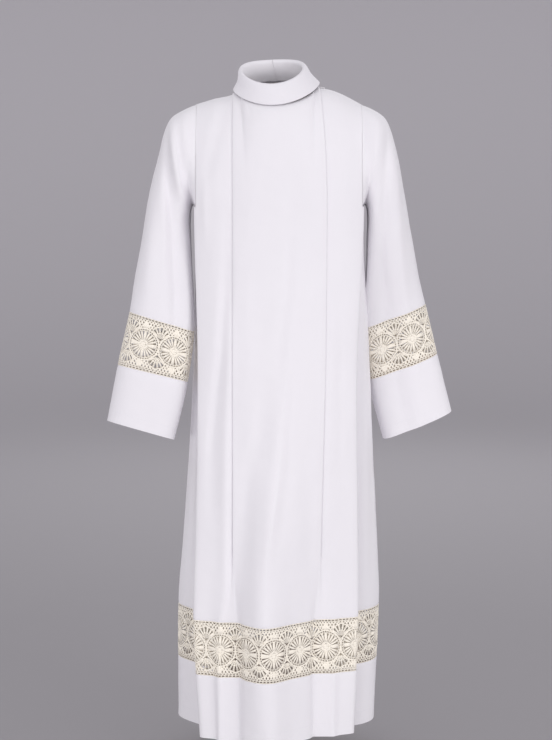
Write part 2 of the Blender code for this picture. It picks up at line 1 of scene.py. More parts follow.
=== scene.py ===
"""The looks of the alb: pressed white cloth in soft folds, with ecru lace let into the skirt and sleeves.

Every piece is a thin shell on the form of its CAD node, made from the same tables of lines and rings at a
finer step, with the creases added. Sizes are metres. Right and left are the wearer's, so right is at -X.
"""

from collections import namedtuple
from math import ceil, cos, pi, radians, sin

import bpy
import numpy as np
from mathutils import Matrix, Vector


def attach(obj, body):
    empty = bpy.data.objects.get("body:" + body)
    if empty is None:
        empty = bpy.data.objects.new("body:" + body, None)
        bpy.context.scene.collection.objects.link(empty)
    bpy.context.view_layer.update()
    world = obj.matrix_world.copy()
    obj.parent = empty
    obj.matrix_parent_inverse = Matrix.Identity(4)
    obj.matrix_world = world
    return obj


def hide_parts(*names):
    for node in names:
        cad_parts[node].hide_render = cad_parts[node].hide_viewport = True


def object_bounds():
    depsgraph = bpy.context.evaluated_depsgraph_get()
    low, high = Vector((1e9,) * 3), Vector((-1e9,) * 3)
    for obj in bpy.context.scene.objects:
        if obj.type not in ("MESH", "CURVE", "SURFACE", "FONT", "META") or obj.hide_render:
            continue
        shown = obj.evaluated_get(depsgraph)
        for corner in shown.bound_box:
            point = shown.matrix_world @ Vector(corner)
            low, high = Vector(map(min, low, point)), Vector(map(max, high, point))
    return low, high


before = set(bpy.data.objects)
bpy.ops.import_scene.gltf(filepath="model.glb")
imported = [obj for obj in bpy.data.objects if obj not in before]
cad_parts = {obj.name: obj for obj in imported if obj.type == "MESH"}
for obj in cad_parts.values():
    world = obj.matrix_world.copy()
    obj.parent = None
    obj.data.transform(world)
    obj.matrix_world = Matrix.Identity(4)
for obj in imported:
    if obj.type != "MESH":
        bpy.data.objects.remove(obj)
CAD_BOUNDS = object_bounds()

# Driving dimensions, as the CAD has them
CLOTH = 0.0011  # wall of the single cloth
COLLAR_CLOTH = 0.0022
SEAM = 0.0003
CHEST, WAIST, KNEE = -0.24, -0.6, -0.95
LACE_TOP, LACE_BOTTOM, HEM = -1.155, -1.28, -1.425
LEVELS = [CHEST, WAIST, KNEE, LACE_TOP, HEM]
PLACKET_TOP, PLACKET_BOTTOM, PLACKET_WIDTH = 0.018, -0.158, 0.026
PLACKET_GAP = 0.0007

# How finely the shells are cut
ROW_STEP = 0.0075
COLUMN_STEP = 0.0042
ARCH_ROWS = 36  # from the shoulder seam down to the chest
UNDERARM_CUTS = 6  # on each quarter of the underarm
SLEEVE_ROW_STEP = 0.008
COLLAR_STEP = 0.0026
COLLAR_COLUMNS = 190
PLACKET_COLUMNS = 8
PLACKET_REACH = 12  # columns of the back, to each side of its middle, that the placket is read from
SHARP_CLOTH, SHARP_LACE = 62, 95  # degrees past which an edge isn't smoothed
UV_COLUMNS = 24  # columns that the weave's length down the cloth is measured on
GORE_CUTS = 9  # between two lines of a gore
SEAM_ROWS = np.array([0.0015, 0.003, 0.005])  # extra rows this far from a seam, for its dip

# A line that runs down a panel: (x, y) at each level, and where it starts on the shoulder or neck seam.
# A line with no top_x starts at the underarm.
Line = namedtuple("Line", "name chest waist knee lace hem top_x", defaults=[None])


def lines_of(*rows):
    return [Line(*row) for row in rows]


FRONT_RIGHT = lines_of(
    ("seam", (-0.176, -0.078), (-0.152, -0.08), (-0.126, -0.084), (-0.113, -0.09), (-0.108, -0.094)),
    ("under", (-0.179, -0.082), (-0.164, -0.088), (-0.155, -0.094), (-0.15, -0.099), (-0.144, -0.104)),
    ("turn", (-0.182, -0.086), (-0.174, -0.096), (-0.18, -0.103), (-0.185, -0.108), (-0.173, -0.115)),
    ("edge", (-0.184, -0.09), (-0.178, -0.102), (-0.185, -0.109), (-0.191, -0.114), (-0.178, -0.121)),
    ("lip", (-0.18, -0.095), (-0.174, -0.106), (-0.18, -0.114), (-0.186, -0.119), (-0.173, -0.127), -0.18),
    ("side", (-0.143, -0.112), (-0.14, -0.122), (-0.145, -0.127), (-0.15, -0.128), (-0.142, -0.137), -0.14),
)
FRONT_MIDDLE = lines_of(
    ("neck", (-0.072, -0.127), (-0.072, -0.14), (-0.074, -0.15), (-0.076, -0.158), (-0.076, -0.164), -0.084),
    (
        "slope",
        (-0.045, -0.13), (-0.043, -0.143), (-0.045, -0.163), (-0.047, -0.177), (-0.045, -0.183), -0.056,
    ),
    (
        "ridge",
        (-0.006, -0.131), (-0.005, -0.147), (-0.014, -0.168), (-0.017, -0.18), (-0.015, -0.188), -0.006,
    ),
    ("fall", (0.036, -0.13), (0.032, -0.146), (0.03, -0.153), (0.029, -0.15), (0.029, -0.16), 0.042),
    ("neck", (0.074, -0.127), (0.073, -0.138), (0.07, -0.134), (0.069, -0.125), (0.069, -0.133), 0.076),
)
FRONT_LEFT = lines_of(
    ("side", (0.146, -0.111), (0.138, -0.119), (0.138, -0.111), (0.139, -0.105), (0.135, -0.113), 0.142),
    ("lip", (0.18, -0.094), (0.167, -0.106), (0.171, -0.099), (0.173, -0.095), (0.165, -0.102), 0.18),
    ("edge", (0.184, -0.089), (0.171, -0.101), (0.176, -0.094), (0.178, -0.09), (0.17, -0.097)),
    ("turn", (0.183, -0.085), (0.168, -0.096), (0.171, -0.089), (0.172, -0.085), (0.165, -0.092)),
    ("under", (0.179, -0.081), (0.155, -0.088), (0.14, -0.083), (0.132, -0.08), (0.128, -0.086)),
    ("seam", (0.176, -0.077), (0.138, -0.081), (0.108, -0.079), (0.092, -0.079), (0.088, -0.084)),
)
BACK_RIGHT = lines_of(
    ("seam", (-0.176, 0.08), (-0.15, 0.083), (-0.135, 0.087), (-0.125, 0.093), (-0.122, 0.099)),
    ("under", (-0.179, 0.085), (-0.164, 0.092), (-0.155, 0.098), (-0.152, 0.105), (-0.148, 0.111)),
    ("turn", (-0.182, 0.089), (-0.175, 0.1), (-0.18, 0.108), (-0.184, 0.115), (-0.182, 0.122)),
    ("edge", (-0.184, 0.094), (-0.179, 0.106), (-0.185, 0.114), (-0.19, 0.121), (-0.188, 0.129)),
    ("lip", (-0.18, 0.098), (-0.175, 0.111), (-0.18, 0.12), (-0.185, 0.127), (-0.182, 0.135), -0.18),
    ("side", (-0.144, 0.114), (-0.142, 0.123), (-0.144, 0.135), (-0.147, 0.144), (-0.146, 0.152), -0.142),
)
BACK_MIDDLE = lines_of(
    ("neck", (-0.072, 0.128), (-0.071, 0.136), (-0.073, 0.148), (-0.075, 0.152), (-0.075, 0.162), -0.084),
    ("hollow", (-0.04, 0.131), (-0.038, 0.136), (-0.04, 0.141), (-0.042, 0.142), (-0.042, 0.149), -0.052),
    ("centre", (0, 0.132), (0, 0.137), (0, 0.148), (0, 0.156), (0, 0.166), -0.004),
    ("swell", (0.04, 0.131), (0.038, 0.138), (0.04, 0.153), (0.041, 0.164), (0.042, 0.174), 0.044),
    ("neck", (0.072, 0.128), (0.071, 0.135), (0.073, 0.144), (0.074, 0.148), (0.074, 0.155), 0.076),
)
BACK_LEFT = lines_of(
    ("side", (0.144, 0.114), (0.142, 0.123), (0.144, 0.137), (0.146, 0.148), (0.145, 0.156), 0.142),
    ("lip", (0.18, 0.098), (0.172, 0.111), (0.177, 0.121), (0.181, 0.129), (0.179, 0.137), 0.18),
    ("edge", (0.184, 0.094), (0.176, 0.106), (0.182, 0.115), (0.186, 0.123), (0.185, 0.131)),
    ("turn", (0.183, 0.089), (0.172, 0.1), (0.177, 0.109), (0.18, 0.117), (0.179, 0.124)),
    ("under", (0.179, 0.085), (0.161, 0.092), (0.152, 0.099), (0.148, 0.106), (0.145, 0.112)),
    ("seam", (0.176, 0.08), (0.147, 0.083), (0.133, 0.088), (0.124, 0.094), (0.12, 0.1)),
)
GORE_RIGHT = lines_of(
    ("front_fold", (-0.182, -0.058), (-0.166, -0.062), (-0.16, -0.062), (-0.158, -0.062), (-0.158, -0.062)),
    ("forward", (-0.185, -0.03), (-0.181, -0.038), (-0.188, -0.04), (-0.194, -0.036), (-0.198, -0.03)),
    ("flank", (-0.187, 0), (-0.189, -0.006), (-0.207, -0.008), (-0.222, -0.004), (-0.23, 0.008)),
    ("rear", (-0.186, 0.03), (-0.186, 0.03), (-0.207, 0.03), (-0.225, 0.034), (-0.233, 0.046)),
    ("rear_fold", (-0.182, 0.058), (-0.17, 0.06), (-0.185, 0.066), (-0.198, 0.072), (-0.204, 0.084)),
)
GORE_LEFT = lines_of(
    ("front_fold", (0.182, -0.058), (0.159, -0.059), (0.15, -0.057), (0.146, -0.056), (0.142, -0.06)),
    ("forward", (0.186, -0.03), (0.193, -0.038), (0.195, -0.04), (0.194, -0.04), (0.19, -0.042)),
    ("flank", (0.187, 0), (0.206, -0.017), (0.219, -0.012), (0.222, -0.01), (0.217, -0.01)),
    ("rear", (0.186, 0.03), (0.184, 0.02), (0.21, 0.026), (0.222, 0.034), (0.219, 0.036)),
    ("rear_fold", (0.182, 0.058), (0.168, 0.053), (0.186, 0.064), (0.2, 0.072), (0.202, 0.078)),
)
PLEATS = {
    "front": lines_of(
        (
            "right",
            (-0.1, -0.12), (-0.101, -0.133), (-0.102, -0.139), (-0.104, -0.14), (-0.104, -0.148), -0.101,
        ),
        (
            "left",
            (0.103, -0.1205), (0.101, -0.13), (0.094, -0.1235), (0.092, -0.1145), (0.093, -0.1215), 0.0885,
        ),
    ),
    "back": lines_of(
        (
            "right",
            (-0.103, 0.123), (-0.103, 0.132), (-0.103, 0.146), (-0.104, 0.155), (-0.104, 0.164), -0.103,
        ),
        ("left", (0.103, 0.123), (0.103, 0.131), (0.103, 0.14), (0.103, 0.145), (0.103, 0.152), 0.101),
    ),
}
PANELS = {
    "front": (FRONT_RIGHT, FRONT_MIDDLE, FRONT_LEFT),
    "back": (BACK_RIGHT, BACK_MIDDLE, BACK_LEFT),
}
# folded is 1 where a pleat lies flat on its underlay and 0 where it has opened into a step of width spread.
Fold = namedtuple("Fold", "z folded under depth spread")
PLEAT_FOLDS = [
    Fold(z=0.05, folded=1, under=0.011, depth=0.0032, spread=0.006),
    Fold(z=WAIST, folded=1, under=0.014, depth=0.0036, spread=0.006),
    Fold(z=KNEE, folded=1, under=0.006, depth=0.0046, spread=0.006),
    Fold(z=-1.06, folded=0, under=0.006, depth=0.005, spread=0.008),
    Fold(z=LACE_TOP, folded=0, under=0.006, depth=0.0025, spread=0.026),
    Fold(z=HEM, folded=0, under=0.006, depth=0.001, spread=0.032),
]
PLEAT_ROUNDING = 0.0005
PLEAT_APPROACH = 0.014
PLEAT_CLOSING = 0.84  # how deep a pleat's hidden layer lies, as a share of its depth
PLEAT_STEPS = 5  # across an opened pleat

Ridge = namedtuple("Ridge", "x z")
SHOULDER = [
    Ridge(-0.18, -0.0195),
    Ridge(-0.14, -0.0075),
    Ridge(-0.103, 0.0035),
    Ridge(-0.084, 0.0075),
    Ridge(0.076, 0.0155),
    Ridge(0.0885, 0.0178),
    Ridge(0.101, 0.0165),
    Ridge(0.15, -0.004),
    Ridge(0.18, -0.02),
]

# Rings round the neck: centre and half width across, reach to the front and back, and four heights.
Ring = namedtuple("Ring", "centre_x half_width front back z_front z_back z_right z_left")
NECKLINE = Ring(-0.004, 0.08, 0.078, 0.064, -0.021, 0.03, 0.0075, 0.0155)
COLLAR_RINGS = [
    Ring(-0.005, 0.0768, 0.0745, 0.0608, -0.019, 0.033, 0.0115, 0.0195),  # foot of the stand
    Ring(-0.0095, 0.0685, 0.067, 0.058, 0.003, 0.055, 0.035, 0.042),  # middle of the stand
    Ring(-0.0143, 0.0672, 0.064, 0.057, 0.018, 0.074, 0.052, 0.0585),  # top of the stand
    Ring(-0.0141, 0.0699, 0.0668, 0.0596, 0.0212, 0.077, 0.0555, 0.0612),  # roll
    Ring(-0.0134, 0.0732, 0.07, 0.0628, 0.018, 0.074, 0.052, 0.058),  # shoulder of the fall
    Ring(-0.0097, 0.0797, 0.0795, 0.073, -0.002, 0.048, 0.0305, 0.0425),  # middle of the fall
    Ring(-0.0055, 0.093, 0.089, 0.086, -0.0225, 0.023, 0.0115, 0.0255),  # edge of the fall
]
COLLAR_OPENING = 0.0006

# Sleeve rings, from the head of the sleeve to the cuff: the outer and inner ends of each, seen from the
# front, how far it reaches to the front and back of its middle, and how much its front is raised.
Cuff = namedtuple("Cuff", "outer_x outer_z inner_x inner_z middle_y half_depth lift", defaults=[0])
SLEEVES = {
    "right": [
        Cuff(0.212, -0.034, 0.1905, -0.2405, 0, 0.082),
        Cuff(0.236, -0.0495, 0.1945, -0.25, 0, 0.083),
        Cuff(0.251, -0.0755, 0.196, -0.266, 0, 0.082),
        Cuff(0.265, -0.129, 0.1965, -0.285, 0, 0.079),
        Cuff(0.2855, -0.2115, 0.195, -0.315, -0.008, 0.073),
        Cuff(0.305, -0.324, 0.192, -0.38, -0.022, 0.064),
        Cuff(0.3195, -0.407, 0.188, -0.446, -0.034, 0.057, 0.003),
        Cuff(0.3305, -0.4725, 0.187, -0.516, -0.043, 0.052, 0.005),
        Cuff(0.357, -0.591, 0.202, -0.629, -0.048, 0.048, 0.007),
        Cuff(0.3825, -0.716, 0.2335, -0.759, -0.05, 0.045, 0.008),
    ],
    "left": [
        Cuff(0.21, -0.0335, 0.1905, -0.2405, 0, 0.082),
        Cuff(0.2315, -0.0495, 0.1945, -0.25, 0, 0.083),
        Cuff(0.245, -0.0765, 0.196, -0.266, 0, 0.082),
        Cuff(0.26, -0.13, 0.1965, -0.285, 0, 0.079),
        Cuff(0.2785, -0.217, 0.196, -0.32, 0.01, 0.073),
        Cuff(0.301, -0.335, 0.195, -0.39, 0.022, 0.064),
        Cuff(0.317, -0.415, 0.19, -0.456, 0.032, 0.057),
        Cuff(0.3305, -0.463, 0.187, -0.517, 0.037, 0.052),
        Cuff(0.3595, -0.5765, 0.201, -0.634, 0.037, 0.048),
        Cuff(0.392, -0.707, 0.237, -0.769, 0.032, 0.046),
    ],
}
SIDES = {"right": -1, "left": 1}
LACE_RING, CUFF_RING = 8, 9  # where the lace and the cuff start, counted with the armhole as ring 0
SQUARENESS = 2.25
EDGE_SQUARENESS = [2.25] * 4 + [2.7] + [3.6] * 5  # of each ring's front beside the body
CORNER = radians(125)

# The creases, given one by one. Each runs down the cloth through its places: across is where it lies, x on
# the front, back and sleeves and y on a gore; depth is how far it stands out, below zero for a trough, and
# width how far to each side it is felt. lean widens its -across side and narrows the other.
At = namedtuple("At", "across z depth width")
Crease = namedtuple("Crease", "places lean")


def crease(*places, lean=0):
    return Crease([At(*place) for place in places], lean)


FRONT_CREASES = [
    # The trough beside the right pleat
    crease(
        (-0.11, -0.24, 0, 0.009), (-0.1125, -0.34, -0.003, 0.01), (-0.121, -0.48, -0.005, 0.011),
        (-0.1265, -0.57, -0.006, 0.012), (-0.136, -0.65, -0.0055, 0.013), (-0.144, -0.74, -0.0045, 0.013),
        (-0.149, -0.84, -0.002, 0.014), (-0.151, -0.94, 0, 0.014),
    ),
    # The swell between that trough and the pleat
    crease(
        (-0.104, -0.42, 0, 0.009), (-0.106, -0.56, 0.002, 0.01), (-0.113, -0.72, 0.004, 0.012),
        (-0.118, -0.88, 0.0045, 0.014), (-0.118, -1.04, 0.003, 0.014), (-0.118, -1.155, 0, 0.014),
    ),
    # The long ridge down the middle, steep on its left side
    crease(
        (0.024, -0.44, 0, 0.014), (0.018, -0.56, 0.002, 0.015), (0.007, -0.7, 0.0045, 0.017),
        (0.002, -0.78, 0.006, 0.018), (-0.009, -0.865, 0.0065, 0.019), (-0.025, -0.975, 0.006, 0.02),
        (-0.036, -1.115, 0.004, 0.021), (-0.04, -1.28, 0.002, 0.022), (-0.042, -1.4, 0, 0.022), lean=0.25,
    ),
    # The hollow to its right-hand side, towards -X
    crease(
        (-0.022, -0.6, 0, 0.018), (-0.034, -0.7, -0.003, 0.02), (-0.062, -0.82, -0.005, 0.022),
        (-0.08, -0.97, -0.0045, 0.022), (-0.09, -1.1, -0.0025, 0.02), (-0.092, -1.2, 0, 0.02),
    ),
    # The shallow trough below the chest
    crease(
        (0.026, -0.2, 0, 0.016), (0.022, -0.32, -0.0025, 0.014), (0.018, -0.42, -0.0028, 0.013),
        (0.006, -0.52, -0.0026, 0.013), (-0.004, -0.62, 0, 0.013),
    ),
    crease((0.03, -0.11, 0, 0.034), (0.03, -0.2, -0.0032, 0.036), (0.034, -0.3, 0, 0.034)),
    crease((0.055, -0.75, 0, 0.02), (0.066, -0.92, -0.0024, 0.02), (0.07, -1.13, 0, 0.02)),
    # From the collar across the right side
    crease(
        (-0.116, -0.02, 0, 0.014), (-0.125, -0.055, -0.0025, 0.015), (-0.14, -0.115, -0.0034, 0.016),
        (-0.149, -0.16, -0.0022, 0.015), (-0.155, -0.205, 0, 0.014),
    ),
    crease((-0.16, -0.16, 0, 0.011), (-0.163, -0.215, 0.003, 0.011), (-0.16, -0.34, 0, 0.011)),
    crease((-0.077, 0, 0, 0.004), (-0.081, -0.014, -0.0022, 0.004), (-0.084, -0.05, 0, 0.005)),
    crease((-0.067, -0.012, 0, 0.004), (-0.064, -0.026, -0.002, 0.004), (-0.058, -0.056, 0, 0.005)),
    crease((-0.056, -0.018, 0, 0.004), (-0.052, -0.031, -0.0014, 0.004), (-0.045, -0.055, 0, 0.005)),
    crease((0.135, -0.38, 0, 0.013), (0.132, -0.6, -0.0022, 0.014), (0.133, -0.9, 0, 0.014)),
]
BACK_CREASES = [
    crease(
        (-0.05, -0.28, 0, 0.018), (-0.055, -0.48, -0.004, 0.019), (-0.06, -0.74, -0.006, 0.02),
        (-0.064, -0.98, -0.005, 0.022), (-0.066, -1.2, 0, 0.022), lean=-0.2,
    ),
    crease(
        (0.014, -0.42, 0, 0.018), (0.006, -0.68, 0.005, 0.02), (-0.003, -0.95, 0.006, 0.022),
        (-0.01, -1.2, 0.003, 0.022), (-0.012, -1.4, 0, 0.022), lean=0.2,
    ),
    crease(
        (0.06, -0.33, 0, 0.018), (0.062, -0.58, -0.004, 0.018), (0.067, -0.88, -0.006, 0.02),
        (0.07, -1.13, -0.003, 0.02), (0.07, -1.32, 0, 0.02),
    ),
    crease(
        (-0.13, -0.3, 0, 0.011), (-0.134, -0.52, -0.005, 0.012), (-0.141, -0.78, -0.004, 0.013),
        (-0.145, -1.0, 0, 0.013),
    ),
    crease(
        (0.132, -0.36, 0, 0.012), (0.138, -0.62, -0.004, 0.013), (0.143, -0.86, -0.005, 0.014),
        (0.146, -1.1, 0, 0.014),
    ),
    crease((-0.09, -0.05, 0, 0.028), (-0.094, -0.15, 0.003, 0.03), (-0.1, -0.3, 0, 0.028)),
    crease((0.094, -0.04, 0, 0.028), (0.097, -0.16, 0.0035, 0.03), (0.1, -0.34, 0, 0.028)),
    crease((0, -0.12, 0, 0.03), (0.004, -0.24, -0.0035, 0.034), (0.008, -0.42, 0, 0.03)),
]
GORE_CREASES = {
    "right": [
        crease(
            (-0.024, -0.3, 0, 0.01), (-0.026, -0.55, -0.004, 0.012), (-0.024, -0.9, -0.006, 0.013),
            (-0.018, -1.2, -0.003, 0.014), (-0.016, -1.35, 0, 0.014),
        ),
        crease(
            (0.012, -0.42, 0, 0.012), (0.014, -0.72, 0.005, 0.013), (0.02, -1.1, 0.006, 0.014),
            (0.022, -1.38, 0, 0.014),
        ),
    ],
    "left": [
        crease(
            (-0.022, -0.34, 0, 0.01), (-0.024, -0.62, -0.005, 0.012), (-0.022, -0.98, -0.005, 0.013),
            (-0.022, -1.3, 0, 0.013),
        ),
        crease(
            (0.008, -0.5, 0, 0.012), (0.01, -0.8, 0.004, 0.013), (0.014, -1.12, 0.006, 0.014),
            (0.016, -1.36, 0, 0.014),
        ),
    ],
}
RIGHT_SLEEVE_FRONT = [
    crease(
        (-0.246, -0.055, 0, 0.01), (-0.246, -0.1, -0.005, 0.011), (-0.243, -0.19, -0.0085, 0.012),
        (-0.234, -0.265, -0.0115, 0.015), (-0.229, -0.35, -0.0125, 0.017), (-0.225, -0.46, -0.0115, 0.018),
        (-0.232, -0.55, -0.005, 0.018), (-0.248, -0.64, 0, 0.018), lean=-0.35,
    ),
    crease(
        (-0.235, -0.03, 0, 0.008), (-0.232, -0.1, 0.004, 0.009), (-0.22, -0.17, 0.005, 0.009),
        (-0.21, -0.23, 0.003, 0.01), (-0.206, -0.3, 0, 0.01),
    ),
    crease(
        (-0.217, -0.035, 0, 0.006), (-0.216, -0.09, -0.004, 0.007), (-0.212, -0.15, -0.0045, 0.007),
        (-0.206, -0.22, 0, 0.007),
    ),
    crease((-0.198, -0.04, 0, 0.006), (-0.196, -0.09, 0.0025, 0.007), (-0.196, -0.15, 0, 0.007)),
    # The inner edge, pressed towards the front
    crease(
        (-0.203, -0.2, 0, 0.007), (-0.199, -0.27, 0.003, 0.007), (-0.197, -0.36, 0.003, 0.007),
        (-0.195, -0.45, 0.003, 0.007), (-0.195, -0.53, 0, 0.007),
    ),
    crease((-0.276, -0.2, 0, 0.014), (-0.283, -0.34, 0.003, 0.016), (-0.292, -0.5, 0, 0.016)),
]
RIGHT_SLEEVE_BACK = [
    crease(
        (-0.24, -0.06, 0, 0.012), (-0.242, -0.16, -0.006, 0.013), (-0.246, -0.3, -0.007, 0.015),
        (-0.256, -0.46, -0.004, 0.018), (-0.27, -0.6, 0, 0.018),
    ),
    crease((-0.222, -0.08, 0, 0.009), (-0.218, -0.2, 0.004, 0.01), (-0.216, -0.36, 0, 0.011)),
]
LEFT_SLEEVE_FRONT = [
    crease(
        (0.2376, -0.04, 0, 0.01), (0.238, -0.09, -0.005, 0.011), (0.234, -0.17, -0.0075, 0.013),
        (0.229, -0.265, -0.0065, 0.014), (0.228, -0.37, -0.0065, 0.015), (0.238, -0.44, -0.0065, 0.016),
        (0.251, -0.53, -0.0065, 0.016), (0.266, -0.63, -0.0055, 0.018), (0.284, -0.72, -0.0045, 0.02),
        (0.292, -0.8, -0.003, 0.02), lean=0.3,
    ),
    crease(
        (0.255, -0.08, 0, 0.009), (0.256, -0.17, 0.0035, 0.01), (0.262, -0.3, 0.004, 0.012),
        (0.275, -0.42, 0.004, 0.013), (0.296, -0.54, 0.003, 0.014), (0.31, -0.68, 0.003, 0.015),
        (0.322, -0.8, 0.002, 0.015),
    ),
    crease(
        (0.214, -0.05, 0, 0.007), (0.208, -0.11, 0.0035, 0.008), (0.199, -0.2, 0.003, 0.008),
        (0.196, -0.28, 0, 0.008),
    ),
    # The inner edge, pressed towards the front
    crease(
        (0.203, -0.2, 0, 0.007), (0.2, -0.27, 0.007, 0.009), (0.199, -0.36, 0.008, 0.01),
        (0.198, -0.45, 0.006, 0.01), (0.195, -0.53, 0, 0.01),
    ),
]
LEFT_SLEEVE_BACK = [
    crease(
        (0.236, -0.05, 0, 0.011), (0.24, -0.17, -0.007, 0.013), (0.25, -0.32, -0.006, 0.015),
        (0.262, -0.48, -0.004, 0.018), (0.28, -0.62, 0, 0.018), lean=-0.2,
    ),
    crease((0.214, -0.1, 0, 0.009), (0.21, -0.22, 0.004, 0.01), (0.212, -0.38, 0, 0.012)),
]
SLEEVE_CREASES = {
    "right": (RIGHT_SLEEVE_FRONT, RIGHT_SLEEVE_BACK),
    "left": (LEFT_SLEEVE_FRONT, LEFT_SLEEVE_BACK),
}
RIPPLE = 0.0005  # the cloth is never quite flat: how far it wanders
EDGE_EASE = 0.03  # how far from a turned edge or the shoulder seam the creases come in
GORE_EASE = 0.06  # and below a gore's top
SLEEVE_EASE = 0.05  # and below the armhole
SLEEVE_TURN = 1.6  # how soon a sleeve's front creases come in round its sides
DIP, DIP_REACH = 0.0006, 0.0035  # how a seam draws the cloth in, and over what length
ARMHOLE_DIP, ARMHOLE_REACH = 0.0012, 0.006

# The lace. Its motifs are drawn across the band, x along it and y up from its middle.
LACE_HEIGHT = 0.121  # height that the motifs are drawn for; a band of another height stretches them
MOTIF_PITCH = 0.0697
SLEEVE_MOTIFS = 6
SLEEVE_WHEEL = 0.0035  # from the outer side of a sleeve, round by the front, to the middle of a wheel
LACE_CENTRE_X = -0.011  # of the middle wheel, on the front and the back
LACE_MIDDLE = 0.00055  # how deep in the wall the threads' middles lie
Cord = namedtuple("Cord", "width height")
CORDONNET = Cord(0.0031, 0.0011)  # round a wheel
OUTLINE = Cord(0.0031, 0.0010)  # round a fan
RIM = Cord(0.0016, 0.0006)
RAIL = Cord(0.0017, 0.0006)
CROSSING = Cord(0.0018, 0.0006)
BAR = Cord(0.0023, 0.0006)
EDGE_BAR = Cord(0.0030, 0.0006)
RIM_BAR = Cord(0.0023, 0.00045)
MESH = Cord(0.0029, 0.00045)
THREAD = Cord(0.0015, 0.00045)
CLOTHWORK = 0.0008  # height of the solid petals
THREAD_BACK = 0.8  # a thread stands out less at its back, by this share
WHEEL_X, WHEEL_Y = 0.0343, 0.0355  # half axes of a wheel's outer cord
RIM_SHARE, RIM_END = 0.86, 0.97  # shares of those where its inner cord runs and its short bars end
RIM_BARS = 36
WHEEL_STEPS, RIM_STEPS = 44, 36  # how many sides the two cords have
# A radial piece of a wheel: where it lies, how far it runs, and its width at both ends.
Spoke = namedtuple("Spoke", "degrees start end inner outer height")
SPOKES = [Spoke(degrees, 0.15, RIM_SHARE, 0.0034, 0.0075, CLOTHWORK) for degrees in (90, 270)]
SPOKES += [Spoke(degrees, 0.15, RIM_SHARE, 0.0040, 0.0115, CLOTHWORK) for degrees in (0, 180)]
SPOKES += [
    Spoke(base + sign * turn, 0.27, RIM_SHARE, 0.0024, 0.0051, BAR.height)
    for base in (0, 180)
    for sign in (1, -1)
    for turn in (23, 39, 55, 71)
]
ROSETTE = [(0.09, 0.0056), (0.25, 0.0050)]  # rings that fill the wheel's middle: share and width
# The trefoil above and below a wheel: x, y and width along its stem and its right leaf.
TREFOIL_STEM = [(0, 0.0355, 0.0045), (0, 0.0415, 0.0090), (0, 0.0475, 0.0070), (0, 0.0535, 0.0020)]
TREFOIL_LEAF = [(0, 0.0385, 0.0045), (0.0055, 0.0425, 0.0065), (0.0105, 0.0440, 0.0025)]
# Half a fan's outline, and the rays inside it.
FAN = [(0, 0.0150), (0.0110, 0.0240), (0.0200, 0.0330), (0.0155, 0.0430), (0, 0.0495)]
FAN_APEX = 0.0205
FAN_RAYS = [-52, -31, -10.5, 10.5, 31, 52]
FAN_RAY_WIDTHS = [0.0025, 0.0056]
FAN_RAY_START = 0.002
FAN_INSET = 0.0006  # how far the threads stop inside its outline
FAN_REACHES = (0.008, 0.032, 0.0005)  # lengths tried for a ray: from, to and step
FAN_CROSSING_RADIUS = 0.0135  # of the arc across the rays
FAN_CROSSING_ENDS = (36, 144)  # degrees
FAN_ARC_STEPS = 8
FAN_EYE_Y, FAN_EYE_HALF_X, FAN_EYE_HALF_Y = 0.0125, 0.0024, 0.0032  # the small ring below its apex
LENS_HALF_X, LENS_HALF_Y = 0.0016, 0.010  # the two short threads between neighbouring wheels
MESH_PITCH = 0.0072  # of the ground's threads, along the band
MESH_LEAN = 0.6  # how far they go along the band for each step up it
MESH_STEP = 0.0011  # how finely a thread of the ground is tested against the figures
EDGE_PITCH = 0.0078  # of the holes along both edges
EDGE_HOLE = 0.0055  # their height, with the cords
EDGE_INSET = 0.0008  # of the outermost cord's middle
RAIL_STEP = 0.0062  # between the points of the cords along both edges
END_GAP = 0.0002  # that an open band's threads keep from its ends
GROUND_SHARE = 0.97  # the ground's threads reach this far into a wheel, as a share squared


def smooth(knots, values, at, level_start=False):
    """Values of a smooth curve through a table, at one place or many.

    level_start starts it with no slope.
    """
    knots, values, at = (np.asarray(a, float) for a in (knots, values, at))
    if knots[0] > knots[-1]:
        knots, at = -knots, -at
    i = np.clip(np.searchsorted(knots, at) - 1, 0, len(knots) - 2)
    slopes = np.gradient(values, knots, axis=0)
    if level_start:
        slopes[0] = 0
    step = knots[i + 1] - knots[i]
    t = np.clip((at - knots[i]) / step, 0, 1)
    if values.ndim > 1:
        t, step = t[..., None], step[..., None]
    return (
        values[i] * (2 * t**3 - 3 * t**2 + 1)
        + values[i + 1] * (3 * t**2 - 2 * t**3)
        + step * (slopes[i] * (t**3 - 2 * t**2 + t) + slopes[i + 1] * (t**3 - t**2))
    )


SHORTEST = 1e-7  # the least chord that a curve counts, so that points may coincide


def curve_through(points, cuts):
    """Smooth curves through points[..., i, :], with cuts[i] steps between point i and the next."""
    points = np.asarray(points, float)
    first = 2 * points[..., :1, :] - points[..., 1:2, :]
    last = 2 * points[..., -1:, :] - points[..., -2:-1, :]
    padded = np.concatenate([first, points, last], axis=-2)
    curve = []
    for i, steps in enumerate(cuts):
        a, b, c, d = (padded[..., i + k, :] for k in range(4))
        chords = [np.linalg.norm(q - p, axis=-1, keepdims=True) for p, q in ((a, b), (b, c), (c, d))]
        t1, t2, t3 = np.cumsum([np.maximum(chord, SHORTEST) ** 0.5 for chord in chords], axis=0)
        t0 = 0 * t1
        for k in range(steps):
            t = t1 + (t2 - t1) * k / steps
            ab = a + (b - a) * (t - t0) / (t1 - t0)
            bc = b + (c - b) * (t - t1) / (t2 - t1)
            cd = c + (d - c) * (t - t2) / (t3 - t2)
            abc = ab + (bc - ab) * (t - t0) / (t2 - t0)
            bcd = bc + (cd - bc) * (t - t1) / (t3 - t1)
            curve.append(abc + (bcd - abc) * (t - t1) / (t2 - t1))
    return np.stack(curve + [points[..., -1, :]], axis=-2)


